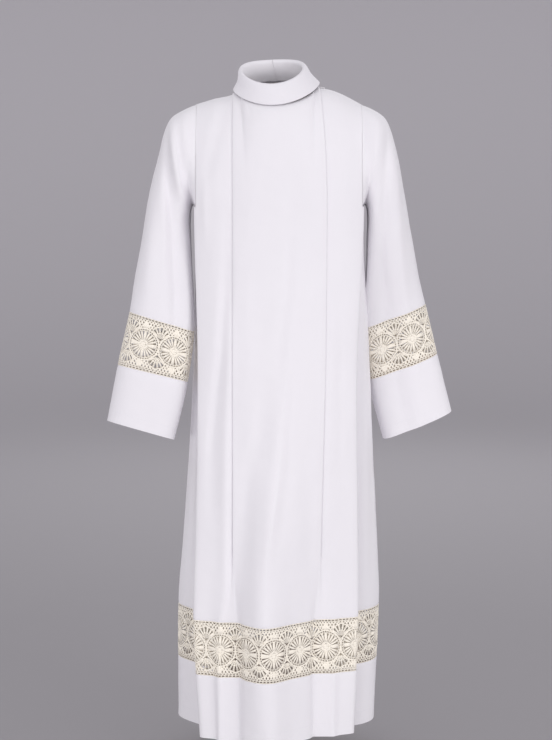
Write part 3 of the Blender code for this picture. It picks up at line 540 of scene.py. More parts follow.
def ease(t):
    """0 below 0 and 1 above 1, with a soft start and end."""
    t = np.clip(t, 0, 1)
    return t * t * (3 - 2 * t)


def unit(vectors):
    return vectors / np.maximum(np.linalg.norm(vectors, axis=-1, keepdims=True), 1e-9)


def rows_between(start, end, step=ROW_STEP):
    """Levels from start to end, with closer ones beside each end for the seam's dip."""
    count = ceil(abs(end - start) / step)
    levels = np.linspace(start, end, count + 1)
    near = np.sign(end - start) * SEAM_ROWS
    return np.unique(np.concatenate([levels, start + near, end - near]))[:: -1 if end < start else 1]


def relief(creases, across, z):
    """How far the creases push the cloth out at places across and down it."""
    out = np.zeros(np.broadcast(across, z).shape)
    for crease in creases:
        levels = [place.z for place in crease.places]
        table = [(place.across, place.depth, place.width) for place in crease.places]
        middle, depth, width = np.moveaxis(smooth(levels, table, z), -1, 0)
        inside = (z <= levels[0]) & (z >= levels[-1])
        side = across - middle
        reach = width * np.where(side < 0, 1 + crease.lean, 1 - crease.lean)
        out += np.where(inside, depth, 0) * np.exp(-((side / reach) ** 2))
    return out


def ripple(across, z):
    """The slow unevenness of pressed cloth: slanting waves that cross, from broad to fine."""
    return RIPPLE * (
        np.sin(31 * across + 9 * z + 1.3) * np.sin(17 * z - 12 * across)
        + 0.6 * np.sin(73 * across - 14 * z) * np.cos(38 * z + 21 * across + 0.4)
        + 0.3 * np.sin(140 * across + 55 * z + 2) * np.sin(96 * z - 60 * across)
    )


# The body panels


def line_at(line, z):
    return smooth(LEVELS, [line.chest, line.waist, line.knee, line.lace, line.hem], z, level_start=True)


def pleat_offsets(z, side):
    """The points of a pleat at each level, side panel first, as (offset across, depth below the fold)."""
    folds = [(f.folded, f.under, f.depth, f.spread) for f in PLEAT_FOLDS]
    folded, under, depth, spread = np.moveaxis(smooth([f.z for f in PLEAT_FOLDS], folds, z), -1, 0)
    folded = np.clip(folded, 0, 1)[..., None, None]
    hidden = PLEAT_CLOSING * depth
    tuck = under - PLEAT_ROUNDING
    zero = 0 * depth
    shut = [
        (zero - PLEAT_APPROACH, depth), (tuck, depth), (under, (depth + hidden) / 2), (tuck, hidden),
        (hidden / 2, hidden), (zero, hidden / 2), (hidden / 2, zero),
    ]
    opened = [(-PLEAT_APPROACH - spread / 2, depth)]
    opened += [(spread * (t - 0.5), depth * (1 - ease(t))) for t in np.linspace(0, 1, PLEAT_STEPS + 1)]
    shut, opened = (np.stack([np.stack(p, -1) for p in points], -2) for points in (shut, opened))
    return (folded * shut + (1 - folded) * opened) * (side, 1)


def pleat_points(pleat, z, side, inward):
    return line_at(pleat, z)[..., None, :] + pleat_offsets(z, side) * (1, inward)


def section(name, z):
    """The key points of a front or back panel across each level, from -X to +X: shape (levels, keys, 2)."""
    inward = 1 if name == "front" else -1
    right, middle, left = ([line_at(line, z)[:, None] for line in lines] for lines in PANELS[name])
    pleats = [pleat_points(pleat, z, side, inward) for pleat, side in zip(PLEATS[name], (1, -1))]
    return np.concatenate([*right, pleats[0], *middle, pleats[1][:, ::-1], *left], axis=1)


def key_tops(name):
    """(top x, drop) of the panel's key points; x is None for those that start at the underarm."""
    right, middle, left = PANELS[name]
    offsets = pleat_offsets(np.array(PLEAT_FOLDS[0].z), 1)
    pleat_right, pleat_left = (pleat.top_x for pleat in PLEATS[name])
    tops = [(line.top_x, 0) for line in right] + [(pleat_right + a, b) for a, b in offsets]
    tops += [(line.top_x, 0) for line in middle] + [(pleat_left - a, b) for a, b in offsets[::-1]]
    return tops + [(line.top_x, 0) for line in left]


def column_cuts(name):
    """Steps between each two key points, from the widest that they ever lie apart."""
    keys = section(name, np.array(LEVELS))
    gaps = np.linalg.norm(np.diff(keys, axis=1), axis=2).max(axis=0)
    cuts = np.maximum(2, np.ceil(gaps / COLUMN_STEP).astype(int))
    return cuts.tolist()


def shoulder_z(x):
    return smooth([r.x for r in SHOULDER], [r.z for r in SHOULDER], x)


def ring_points(ring, angles):
    """Points of a ring round the neck. Angle 0 is the centre front, and it grows towards +X."""
    s, c = np.sin(angles), np.cos(angles)
    side = (ring.z_right + ring.z_left) / 2
    z = side + s * (ring.z_left - ring.z_right) / 2 + c * (ring.z_front - ring.z_back) / 2
    z += c * c * ((ring.z_front + ring.z_back) / 2 - side)
    reach = np.where(c > 0, ring.front, ring.back)
    return np.stack([ring.centre_x + s * ring.half_width, -c * reach, z], axis=-1)


def column_tops(name, cuts):
    """Where each column starts: points on the neckline or shoulder ridge, and which columns have one."""
    tops = key_tops(name)
    places = []
    for (x0, d0), (x1, d1), steps in zip(tops, tops[1:], cuts):
        t = np.arange(steps) / steps
        if x0 is None:
            places += [(np.nan, 0)] * steps
        elif x1 is None:
            places += [(x0, d0)] + [(np.nan, 0)] * (steps - 1)
        else:
            span = np.array([x0, x1])
            s = np.clip((span - NECKLINE.centre_x) / NECKLINE.half_width, -1, 1)
            round_neck = abs(span - NECKLINE.centre_x).max() <= NECKLINE.half_width + 1e-9
            if round_neck:  # even steps round the neck, not across it
                a0, a1 = np.arcsin(s)
                x = NECKLINE.centre_x + NECKLINE.half_width * np.sin(a0 + (a1 - a0) * t)
            else:
                x = x0 + (x1 - x0) * t
            places += list(zip(x, d0 + (d1 - d0) * t))
    places.append((np.nan, 0))
    x, drop = np.array(places, float).T
    has_top = ~np.isnan(x)
    x = np.where(has_top, x, 0)
    s = np.clip((x - NECKLINE.centre_x) / NECKLINE.half_width, -1, 1)
    angle = np.arcsin(s) if name == "front" else pi - np.arcsin(s)
    on_neck = (np.abs(s) < 1 - 1e-6) & (drop == 0)
    ridge = np.stack([x, 0 * x, shoulder_z(x)], axis=-1)
    points = np.where(on_neck[:, None], ring_points(NECKLINE, angle), ridge)
    points[:, 1] += -SEAM / 2 if name == "front" else SEAM / 2
    points[:, 2] -= drop
    return points, has_top


class Panel:
    """The front or the back: the columns that all its tiers share, and what its creases do to them."""

    def __init__(self, name, creases):
        self.name, self.creases = name, creases
        self.cuts = column_cuts(name)
        self.tops, self.has_top = column_tops(name, self.cuts)
        self.outward = -1 if name == "front" else 1
        lips = np.flatnonzero(self.has_top)[[0, -1]]
        columns = np.arange(len(self.has_top))
        inside = np.minimum(columns - lips[0], lips[1] - columns) * COLUMN_STEP
        self.free = ease(inside / EDGE_EASE)  # the turned edges and the armholes stay where the CAD has them

    def creased(self, net):
        x, z = net[..., 0], net[..., 2]
        net = net.copy()
        seam = ease((self.tops[:, 2] - z) / EDGE_EASE) if z.max() > CHEST else 1
        net[..., 1] += self.outward * self.free * seam * (relief(self.creases, x, z) + ripple(x, z))
        return net

    def level_net(self, z):
        flat = curve_through(section(self.name, z), self.cuts)
        return np.concatenate([flat, np.broadcast_to(z[:, None, None], (*flat.shape[:2], 1))], axis=2)

    def tier(self, start, end):
        return self.creased(self.level_net(rows_between(start, end)))

    def body(self):
        """The net from the neck and shoulders to the lace, and which of its rows and columns are cloth."""
        lower = self.level_net(rows_between(CHEST, LACE_TOP + SEAM / 2))
        chest = lower[0]
        turn = (np.arange(ARCH_ROWS) * pi / 2 / ARCH_ROWS)[:, None]
        start = np.where(self.has_top[:, None], self.tops, chest)
        x = start[:, 0] + (chest[:, 0] - start[:, 0]) * ease(turn / (pi / 2))
        y = start[:, 1] + (chest[:, 1] - start[:, 1]) * np.sin(turn)
        z = chest[:, 2] + (start[:, 2] - chest[:, 2]) * np.cos(turn)
        net = self.creased(np.concatenate([np.stack([x, y, z], axis=-1), lower]))
        wanted = np.ones(net.shape[:2], bool)
        wanted[:ARCH_ROWS] = self.has_top
        return net, wanted


def gore_net(side_name, z):
    """Rows of a side panel, from its seam with the front to its seam with the back."""
    right = side_name == "right"
    lines = GORE_RIGHT if right else GORE_LEFT
    front = FRONT_RIGHT[0] if right else FRONT_LEFT[-1]
    back = BACK_RIGHT[0] if right else BACK_LEFT[-1]
    keys = [line_at(line, z) for line in lines]
    keys = [line_at(front, z) + (0, SEAM), *keys, line_at(back, z) - (0, SEAM)]
    flat = curve_through(np.stack(keys, axis=1), [GORE_CUTS] * (len(keys) - 1))
    across = np.linspace(0, 1, flat.shape[1])
    free = ease(4 * np.minimum(across, 1 - across)) * ease((CHEST - z) / GORE_EASE)[:, None]
    y, levels = flat[..., 1], np.broadcast_to(z[:, None], flat.shape[:2])
    push = free * (relief(GORE_CREASES[side_name], y, levels) + ripple(y, levels))
    flat[..., 0] += SIDES[side_name] * push
    return np.concatenate([flat, levels[..., None]], axis=2)


# Shells


def triangles_of(net, closed=False, wanted=None):
    """Triangles of a net along the shorter diagonal of each cell, and the same with its last column kept
    apart from its first. wanted says which of its cells are cloth."""
    rows, columns = net.shape[:2]
    c0 = np.arange(columns if closed else columns - 1)[None, :]
    r0 = np.arange(rows - 1)[:, None]
    corners = []
    for width, c1 in ((columns, (c0 + 1) % columns), (columns + 1, c0 + 1)):
        p, q = r0 * width + c0, r0 * width + c1
        corners.append((p, q, q + width, p + width))
    points = net.reshape(-1, 3)
    p, q, s, t = corners[0]
    short = np.linalg.norm(points[p] - points[s], axis=-1) < np.linalg.norm(points[q] - points[t], axis=-1)
    if wanted is None:
        keep = np.ones(short.shape, bool)
    else:
        keep = wanted[:-1][:, c0[0]] & wanted[:-1][:, (c0[0] + 1) % columns]
    found = []
    for p, q, s, t in corners:
        first = np.where(short[..., None], np.stack([p, q, s], -1), np.stack([p, q, t], -1))
        second = np.where(short[..., None], np.stack([p, s, t], -1), np.stack([q, s, t], -1))
        found.append(np.concatenate([first[keep], second[keep]]))
    return found


def corner_normals(points, faces):
    """Unit normals at the points, each the mean of the faces round it, weighted by the angle there."""
    corners = points[faces]
    normal = unit(np.cross(corners[:, 1] - corners[:, 0], corners[:, 2] - corners[:, 0]))
    normals = np.zeros_like(points)
    for k in range(3):
        a, b = unit(corners[:, k - 1] - corners[:, k]), unit(corners[:, (k + 1) % 3] - corners[:, k])
        angle = np.arccos(np.clip((a * b).sum(1), -1, 1))
        np.add.at(normals, faces[:, k], normal * angle[:, None])
    return unit(normals)


def facing_normals(net, outward, closed=False, wanted=None):
    """The cloth's normals at each place of the net."""
    normals = corner_normals(net.reshape(-1, 3), triangles_of(net, closed, wanted)[0])
    return normals.reshape(net.shape) * outward


def cloth_uv(net, closed=False):
    """Distances across and down the cloth, in metres, for the weave."""
    wide = np.concatenate([net, net[:, :1] if closed else net[:, -1:]], axis=1)
    across = np.linalg.norm(np.diff(wide, axis=1), axis=2).mean(axis=0)
    sample = max(1, net.shape[1] // UV_COLUMNS)
    down = np.linalg.norm(np.diff(net, axis=0), axis=2)[:, ::sample].mean(axis=1)
    u, v = np.concatenate([[0], np.cumsum(across)]), np.concatenate([[0], np.cumsum(down)])
    return np.stack(np.broadcast_arrays(u[None, :], -v[:, None]), axis=-1).reshape(-1, 2)


def add_mesh(name, points, faces, material, uvs=None, edge=SHARP_CLOTH):
    """A smooth-shaded object of these points and triangles. uvs holds one pair for each corner of each face,
    and an edge sharper than edge degrees isn't smoothed."""
    mesh = bpy.data.meshes.new(name)
    mesh.from_pydata(points.tolist(), [], faces.tolist())
    if uvs is not None:
        mesh.uv_layers.new(name="cloth").data.foreach_set("uv", uvs.astype(np.float32).ravel())
    mesh.shade_smooth()
    mesh.set_sharp_from_angle(angle=radians(edge))
    mesh.materials.append(material)
    obj = bpy.data.objects.new(name, mesh)
    bpy.context.scene.collection.objects.link(obj)
    return obj


def shell(name, net, material, outward, closed=False, wall=CLOTH, wanted=None, normals=None, flat_ends=True):
    """A wall of cloth: its outer face is the net, and its inner one lies a wall inside it."""
    faces, apart = triangles_of(net, closed, wanted)
    if outward < 0:
        faces, apart = faces[:, ::-1], apart[:, ::-1]
    points = net.reshape(-1, 3)
    if normals is None:
        normals = corner_normals(points, faces).reshape(net.shape)
        if flat_ends:
            normals[[0, -1], :, 2] = 0
    inner = points - wall * unit(normals.reshape(-1, 3))
    count = len(points)
    ends = np.concatenate([faces[:, [0, 1]], faces[:, [1, 2]], faces[:, [2, 0]]])
    key, back = ends[:, 0] * count + ends[:, 1], ends[:, 1] * count + ends[:, 0]
    a, b = ends[~np.isin(key, back)].T
    rims = np.concatenate([np.stack([b, a, a + count], 1), np.stack([b, a + count, b + count], 1)])
    table = cloth_uv(net, closed)
    row, column = np.divmod(np.arange(count), net.shape[1])
    own = table[row * (net.shape[1] + 1) + column]
    uvs = np.concatenate([table[apart], table[apart[:, ::-1]], np.concatenate([own, own])[rims]])
    faces = np.concatenate([faces, faces[:, ::-1] + count, rims])
    used, index = np.unique(faces, return_inverse=True)
    wall_points = np.concatenate([points, inner])[used]
    obj = add_mesh(f"{name}_cloth", wall_points, index.reshape(-1, 3), material, uvs)
    # The inner faces get a warm tan in place of white: painted shade for the dim inside of the robe seen
    # through the lace.
    if material == WHITE:
        obj.data.materials.append(PAINTED_SHADE_REVERSE)
        sides = np.zeros(len(faces), np.int32)
        sides[apart.shape[0] : 2 * apart.shape[0]] = 1
        obj.data.polygons.foreach_set("material_index", sides)
    return obj


# Lace


class Band:
    """A strip of lace in space: places along and up it, and the threads laid on it so far."""

    def __init__(self, net, outward, closed=False):
        self.closed = closed
        normals = facing_normals(net, outward, closed)
        if closed:
            net, normals = (np.concatenate([a, a, a, a[:, :1]], axis=1) for a in (net, normals))
        middle = net[len(net) // 2]
        along = np.concatenate([[0], np.cumsum(np.linalg.norm(np.diff(middle, axis=0), axis=1))])
        self.length = along[-1] / (3 if closed else 1)
        self.along = along - (self.length if closed else 0)
        down = np.linalg.norm(np.diff(net, axis=0), axis=2).mean(axis=1)
        self.down = np.concatenate([[0], np.cumsum(down)]) / down.sum()
        self.net, self.normals = net, normals
        self.points, self.faces = [], []
        self.count = 0

    def place(self, x, y, height):
        """Points in space for places x along the band, y up from its middle, height above LACE_MIDDLE."""
        column = np.interp(x, self.along, np.arange(len(self.along)))
        row = np.interp(0.5 - y / LACE_HEIGHT, self.down, np.arange(len(self.down)))
        c, r = np.floor(column).astype(int), np.floor(row).astype(int)
        c, r = np.clip(c, 0, self.net.shape[1] - 2), np.clip(r, 0, self.net.shape[0] - 2)
        s, t = (column - c)[..., None], (row - r)[..., None]
        found = []
        for a in (self.net, self.normals):
            upper = a[r, c] * (1 - s) + a[r, c + 1] * s
            lower = a[r + 1, c] * (1 - s) + a[r + 1, c + 1] * s
            found.append(upper * (1 - t) + lower * t)
        return found[0] + unit(found[1]) * (height - LACE_MIDDLE)[..., None]

    def clipped(self, line, width):
        """The stretches of a line that lie on an open band, cut off at its two ends."""
        if self.closed:
            return [(line, width)]
        edge = THREAD.width / 2
        inside = (line[:, 0] > edge) & (line[:, 0] < self.length - edge)
        if inside.all():
            return [(line, width)]
        t = np.linspace(0, len(line) - 1, 6 * (len(line) - 1) + 1)
        k = np.arange(len(line))
        fine = np.stack([np.interp(t, k, line[:, 0]), np.interp(t, k, line[:, 1])], axis=1)
        fine_width = np.interp(t, k, width)
        inside = (fine[:, 0] > edge) & (fine[:, 0] < self.length - edge)
        runs = np.split(np.arange(len(t)), np.flatnonzero(np.diff(inside.astype(int))) + 1)
        return [(fine[run], fine_width[run]) for run in runs if inside[run[0]] and len(run) > 1]

    def lay(self, line, width, height):
        """Lays one thread: a low tube of diamond section along a line of (x, y) places."""
        line = np.asarray(line, float)
        width = np.broadcast_to(np.asarray(width, float), len(line))
        for piece, wide in self.clipped(line, width):
            step = np.gradient(piece, axis=0)
            across = unit(np.stack([-step[:, 1], step[:, 0]], axis=1)) * wide[:, None] / 2
            limit = LACE_HEIGHT / 2
            levels = np.outer(np.ones(len(piece)), [0, height, 0, -THREAD_BACK * height])
            corners = np.stack([piece + across, piece, piece - across, piece], axis=1)
            xs, ys = corners[..., 0], np.clip(corners[..., 1], -limit, limit)
            ring = np.arange(len(piece) * 4).reshape(-1, 4) + self.count
            a, b = ring[:-1], ring[1:]
            a1, b1 = np.roll(a, -1, axis=1), np.roll(b, -1, axis=1)
            sides = [np.stack(ends, -1).reshape(-1, 3) for ends in ((a, b, b1), (a, b1, a1))]
            first, last = ring[0], ring[-1]
            caps = [first[[0, 1, 2]], first[[0, 2, 3]], last[[2, 1, 0]], last[[3, 2, 0]]]
            self.points.append(self.place(xs, ys, levels).reshape(-1, 3))
            self.faces += [*sides, np.array(caps)]
            self.count += ring.size


def arc(centre, half_x, half_y, start, end, steps):
    """Places round part of an ellipse, from one angle to another, in degrees from +x."""
    a = np.radians(np.linspace(start, end, steps + 1))
    return np.stack([centre[0] + half_x * np.cos(a), centre[1] + half_y * np.sin(a)], axis=1)


def wheel_place(x, share, degrees):
    """A place in the wheel whose middle is at x: share is 1 at its outer cord."""
    a = radians(degrees)
    return (x + WHEEL_X * share * cos(a), WHEEL_Y * share * sin(a))


def lay_wheel(band, x):
    """One round wheel with its petals, spokes and rosette, and the trefoils above and below it."""
    band.lay(arc((x, 0), WHEEL_X, WHEEL_Y, 0, 360, WHEEL_STEPS), *CORDONNET)
    band.lay(arc((x, 0), RIM_SHARE * WHEEL_X, RIM_SHARE * WHEEL_Y, 0, 360, RIM_STEPS), *RIM)
    for share, width in ROSETTE:
        steps = 10 + int(30 * share)
        band.lay(arc((x, 0), share * WHEEL_X, share * WHEEL_Y, 0, 360, steps), width, BAR.height)
    for k in range(RIM_BARS):
        degrees = (k + 0.5) * 360 / RIM_BARS
        band.lay([wheel_place(x, share, degrees) for share in (RIM_SHARE, RIM_END)], *RIM_BAR)
    for spoke in SPOKES:
        shares = np.linspace(spoke.start, spoke.end, 3)
        line = [wheel_place(x, share, spoke.degrees) for share in shares]
        widths = np.interp(shares, [spoke.start, spoke.end], [spoke.inner, spoke.outer])
        band.lay(line, widths, spoke.height)
    for up in (1, -1):
        for shape, side in ((TREFOIL_STEM, 1), (TREFOIL_LEAF, 1), (TREFOIL_LEAF, -1)):
            line = [(x + side * across, up * y) for across, y, _ in shape]
            band.lay(line, [width for _, _, width in shape], CLOTHWORK)


def fan_half_width(y):
    return np.interp(np.abs(y), [y for _, y in FAN], [x for x, _ in FAN], left=0, right=0)


def fan_ray_end(angle):
    """How far from the fan's apex a ray at this angle runs, before it meets the outline."""
    for reach in np.arange(*FAN_REACHES):
        if abs(reach * sin(angle)) > fan_half_width(FAN_APEX + reach * cos(angle)) - FAN_INSET:
            break
    return reach


def lay_fans(band, x):
    """The fans that stand between two wheels, pointing up and down."""
    for up in (1, -1):
        half = np.array(FAN) * (1, up) + (x, 0)
        other = np.array(FAN[:-1]) * (-1, up) + (x, 0)
        band.lay(np.concatenate([half, other[::-1]]), *OUTLINE)
        for degrees in FAN_RAYS:
            a = radians(degrees)
            ends = (FAN_RAY_START, fan_ray_end(a))
            line = [(x + r * sin(a), up * (FAN_APEX + r * cos(a))) for r in ends]
            band.lay(line, FAN_RAY_WIDTHS, BAR.height)
        radius = FAN_CROSSING_RADIUS
        start, end = (up * degrees for degrees in FAN_CROSSING_ENDS)
        band.lay(arc((x, up * FAN_APEX), radius, radius, start, end, FAN_ARC_STEPS), *CROSSING)
        eye = arc((x, up * FAN_EYE_Y), FAN_EYE_HALF_X, FAN_EYE_HALF_Y, 0, 360, FAN_ARC_STEPS)
        band.lay(eye, *BAR)
    for side in (1, -1):  # the narrow lens between the two wheels
        lens = [(x + side * LENS_HALF_X, y) for y in np.linspace(-LENS_HALF_Y, LENS_HALF_Y, 5)]
        band.lay(lens, *THREAD)


def in_ground(x, y, middle):
    """Which places lie on the open ground, outside the wheels and fans."""
    from_wheel = (x - middle + MOTIF_PITCH / 2) % MOTIF_PITCH - MOTIF_PITCH / 2
    from_gap = (x - middle) % MOTIF_PITCH - MOTIF_PITCH / 2
    outside_wheel = (from_wheel / WHEEL_X) ** 2 + (y / WHEEL_Y) ** 2 > GROUND_SHARE
    return outside_wheel & (np.abs(from_gap) > fan_half_width(y) - FAN_INSET)


def lay_ground(band, middle, start, end):
    """The net of small meshes behind the figures, and the ladder of holes along both edges."""
    edge = LACE_HEIGHT / 2
    rail = edge - EDGE_HOLE
    reach = MESH_LEAN * rail
    first = int((start - middle - reach) / MESH_PITCH) - 1
    last = int((end - middle + reach) / MESH_PITCH) + 1
    for k in range(first, last + 1):
        for lean in (MESH_LEAN, -MESH_LEAN):
            y = np.arange(-rail, rail + MESH_STEP / 2, MESH_STEP)
            x = middle + k * MESH_PITCH + lean * y
            good = in_ground(x, y, middle) & (x > start) & (x < end)
            for run in np.split(np.arange(len(y)), np.flatnonzero(np.diff(good.astype(int))) + 1):
                if good[run[0]] and len(run) > 2:
                    keep = np.unique(np.append(run[::6], run[-1]))
                    band.lay(np.stack([x[keep], y[keep]], axis=1), *MESH)
    rails = np.linspace(start, end, round((end - start) / RAIL_STEP) + 1)
    for up in (1, -1):
        for y, cord in ((rail, RAIL), (edge - EDGE_INSET, RIM)):
            band.lay(np.stack([rails, 0 * rails + up * y], axis=1), *cord)
        for x in np.arange(start + EDGE_PITCH / 2, end, EDGE_PITCH):
            band.lay([(x, up * rail), (x, up * (edge - EDGE_INSET))], *EDGE_BAR)


def make_lace(name, net, outward, closed=False, middle=0.0):
    """A band of lace in the net. middle is where along it one of its wheels is centred."""
    band = Band(net, outward, closed)
    if closed:
        band.along = band.along * SLEEVE_MOTIFS * MOTIF_PITCH / band.length
        start, end = 0.0, SLEEVE_MOTIFS * MOTIF_PITCH
        numbers = range(SLEEVE_MOTIFS)
    else:
        margin = THREAD.width / 2 + END_GAP
        start, end = margin, band.length - margin
        numbers = range(-int(middle / MOTIF_PITCH) - 1, int((band.length - middle) / MOTIF_PITCH) + 2)
    for k in numbers:
        lay_wheel(band, middle + k * MOTIF_PITCH)
        lay_fans(band, middle + (k + 0.5) * MOTIF_PITCH)
    lay_ground(band, middle, start, end)
    points, faces = np.concatenate(band.points), np.concatenate(band.faces)
    return add_mesh(f"{name}_threads", points, faces, LACE, edge=SHARP_LACE)


# Stitches


STITCH = np.array([0.0022, 0.0006, 0.00032])  # its length and width, and how far it stands out
STITCH_PITCH, COLLAR_STITCH_PITCH = 0.003, 0.0028
FROM_SEAM, FROM_HEM, FROM_CUFF, FROM_COLLAR_EDGE = 0.003, 0.03, 0.025, 0.005  # where rows of stitches run


def stitch_rows(name, rows, outward, pitch=STITCH_PITCH):
    """One mesh of small stitches along rows of (points, normals) on the cloth."""
    points, faces, count = [], [], 0
    shape = np.array([(-0.5, 0, 0), (0.5, 0, 0), (0, 0.5, 0), (0, -0.5, 0), (0, 0, 1), (0, 0, -1)])
    round_it = [(0, 3), (3, 1), (1, 2), (2, 0)]
    sides = np.array([(a, b, 4) for a, b in round_it] + [(b, a, 5) for a, b in round_it])
    for line, normals in rows:
        along = np.concatenate([[0], np.cumsum(np.linalg.norm(np.diff(line, axis=0), axis=1))])
        at = np.arange(pitch / 2, along[-1], pitch)
        middle = np.stack([np.interp(at, along, line[:, k]) for k in range(3)], axis=1)
        up = unit(np.stack([np.interp(at, along, normals[:, k]) for k in range(3)], axis=1)) * outward
        forward = np.stack([np.interp(at, along, np.gradient(line[:, k])) for k in range(3)], axis=1)
        forward = unit(forward - up * (forward * up).sum(1, keepdims=True))
        axes = np.stack([forward, np.cross(up, forward), up], axis=1) * STITCH[None, :, None]
        points.append((middle[:, None] + np.einsum("ck,nkd->ncd", shape, axes)).reshape(-1, 3))
        faces.append((np.arange(len(at))[:, None, None] * len(shape) + sides[None] + count).reshape(-1, 3))
        count += len(at) * len(shape)
    return add_mesh(name, np.concatenate(points), np.concatenate(faces), SEWING)


def row_line(net, distance, from_end=False, closed=False):
    """A line across a net, this far from its first or last row, with the cloth's normals along it."""
    rows = net[::-1] if from_end else net
    down = np.concatenate([[0], np.cumsum(np.linalg.norm(np.diff(rows, axis=0), axis=2).mean(axis=1))])
    at = np.interp(distance, down, np.arange(len(down)))
    r = int(min(at, len(down) - 2))
    normals = facing_normals(net, 1, closed)
    normals = normals[::-1] if from_end else normals
    line, facing = (a[r] + (a[r + 1] - a[r]) * (at - r) for a in (rows, normals))
    if closed:
        line, facing = (np.concatenate([a, a[:1]]) for a in (line, facing))
    return line, facing


# Materials


def new_material(name):
    material = bpy.data.materials.new(name)
    material.use_nodes = True
    tree = material.node_tree
    return material, tree.nodes, tree.links, tree.nodes["Principled BSDF"]


def add_node(nodes, kind, **values):
    """A shader node with these values on its sockets."""
    node = nodes.new(f"ShaderNode{kind}")
    for socket, value in values.items():
        node.inputs[socket].default_value = value
    return node


def bands(nodes, direction, period, distortion, detail=2):
    """Straight waves this far apart. The texture counts 20 / (2 pi) of them to a unit at scale 1."""
    wave = add_node(nodes, "TexWave", Scale=2 * pi / (20 * period), Distortion=distortion, Detail=detail)
    wave.wave_type, wave.bands_direction = "BANDS", direction
    return wave


def tinted(nodes, links, shader, colour, shade, place, scale):
    """A soft unevenness of colour."""
    cloud = add_node(nodes, "TexNoise", Scale=scale, Detail=4)
    links.new(place.outputs["Object"], cloud.inputs["Vector"])
    tone = nodes.new("ShaderNodeMix")
    tone.data_type = "RGBA"
    tone.inputs["A"].default_value = (*colour, 1)
    tone.inputs["B"].default_value = (*shade, 1)
    links.new(cloud.outputs["Fac"], tone.inputs["Factor"])
    links.new(tone.outputs["Result"], shader.inputs["Base Color"])


def cloth_material(name, colour, shade, thread=0.0005):
    """Plain weave: threads over and under each other, with slubs, and a faint sheen."""
    material, nodes, links, shader = new_material(name)
    uv = nodes.new("ShaderNodeUVMap")
    uv.uv_map = "cloth"
    weave = add_node(nodes, "Math")
    weave.operation = "MULTIPLY"
    for direction, factor in zip("XY", weave.inputs):
        wave = bands(nodes, direction, 2 * thread, distortion=0.6, detail=1)
        links.new(uv.outputs["UV"], wave.inputs["Vector"])
        links.new(wave.outputs["Fac"], factor)
    place = nodes.new("ShaderNodeTexCoord")
    slubs = add_node(nodes, "TexNoise", Scale=260, Detail=3)
    links.new(place.outputs["Object"], slubs.inputs["Vector"])
    height = add_node(nodes, "Math")
    height.operation = "MULTIPLY_ADD"
    height.inputs[1].default_value = 0.9
    links.new(slubs.outputs["Fac"], height.inputs[0])
    links.new(weave.outputs["Value"], height.inputs[2])
    bump = add_node(nodes, "Bump", Strength=0.25, Distance=0.0001)
    links.new(height.outputs["Value"], bump.inputs["Height"])
    links.new(bump.outputs["Normal"], shader.inputs["Normal"])
    tinted(nodes, links, shader, colour, shade, place, scale=9)
    shader.inputs["Roughness"].default_value = 0.8
    shader.inputs["Specular IOR Level"].default_value = 0.25
    shader.inputs["Sheen Weight"].default_value = 0.12
    shader.inputs["Sheen Roughness"].default_value = 0.5
    return material


def lace_material():
    """Twisted cotton: fine slanting plies, and threads from ivory to straw."""
    material, nodes, links, shader = new_material("ecru_lace")
    place = nodes.new("ShaderNodeTexCoord")
    plies = bands(nodes, "DIAGONAL", 0.0007, distortion=2.5)
    links.new(place.outputs["Object"], plies.inputs["Vector"])
    bump = add_node(nodes, "Bump", Strength=0.35, Distance=0.00015)
    links.new(plies.outputs["Fac"], bump.inputs["Height"])
    links.new(bump.outputs["Normal"], shader.inputs["Normal"])
    tinted(nodes, links, shader, (1.0, 0.95, 0.85), (0.97, 0.90, 0.78), place, scale=60)
    shader.inputs["Roughness"].default_value = 0.85
    shader.inputs["Specular IOR Level"].default_value = 0.2
    shader.inputs["Sheen Weight"].default_value = 0.15
    shader.inputs["Sheen Roughness"].default_value = 0.5
    return material


WHITE = cloth_material("white_cloth", (0.88, 0.862, 0.898), (0.85, 0.832, 0.868))
# The reverse's warm tan is painted shade: it stands for the shadowed, brownish inside of the robe seen
# through the lace holes.
PAINTED_SHADE_REVERSE = cloth_material("white_cloth_reverse_painted_shade", (0.94, 0.85, 0.76), (0.91, 0.81, 0.72))
COLLAR_WHITE = cloth_material("collar_cloth", (0.87, 0.85, 0.89), (0.85, 0.83, 0.87), thread=0.0004)
SEWING = cloth_material("sewing_thread", (0.80, 0.79, 0.84), (0.74, 0.73, 0.79), thread=0.0002)
LACE = lace_material()


# The pieces


def dipped(net, outward, closed=False, top=False, bottom=False):
    """The net with its cloth drawn in beside a sewn seam at its top or bottom."""
    steps = np.linalg.norm(np.diff(net, axis=0), axis=2).mean(axis=1)
    down = np.concatenate([[0], np.cumsum(steps)])
    near = np.zeros(len(down))
    if top:
        near += np.exp(-((down / DIP_REACH) ** 2))
    if bottom:
        near += np.exp(-(((down[-1] - down) / DIP_REACH) ** 2))
    return net - facing_normals(net, outward, closed) * (DIP * near)[:, None, None]


def declare(obj, node, with_pieces=()):
    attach(obj, "root")
    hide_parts(node)
    for piece in with_pieces:
        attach(piece, "root")


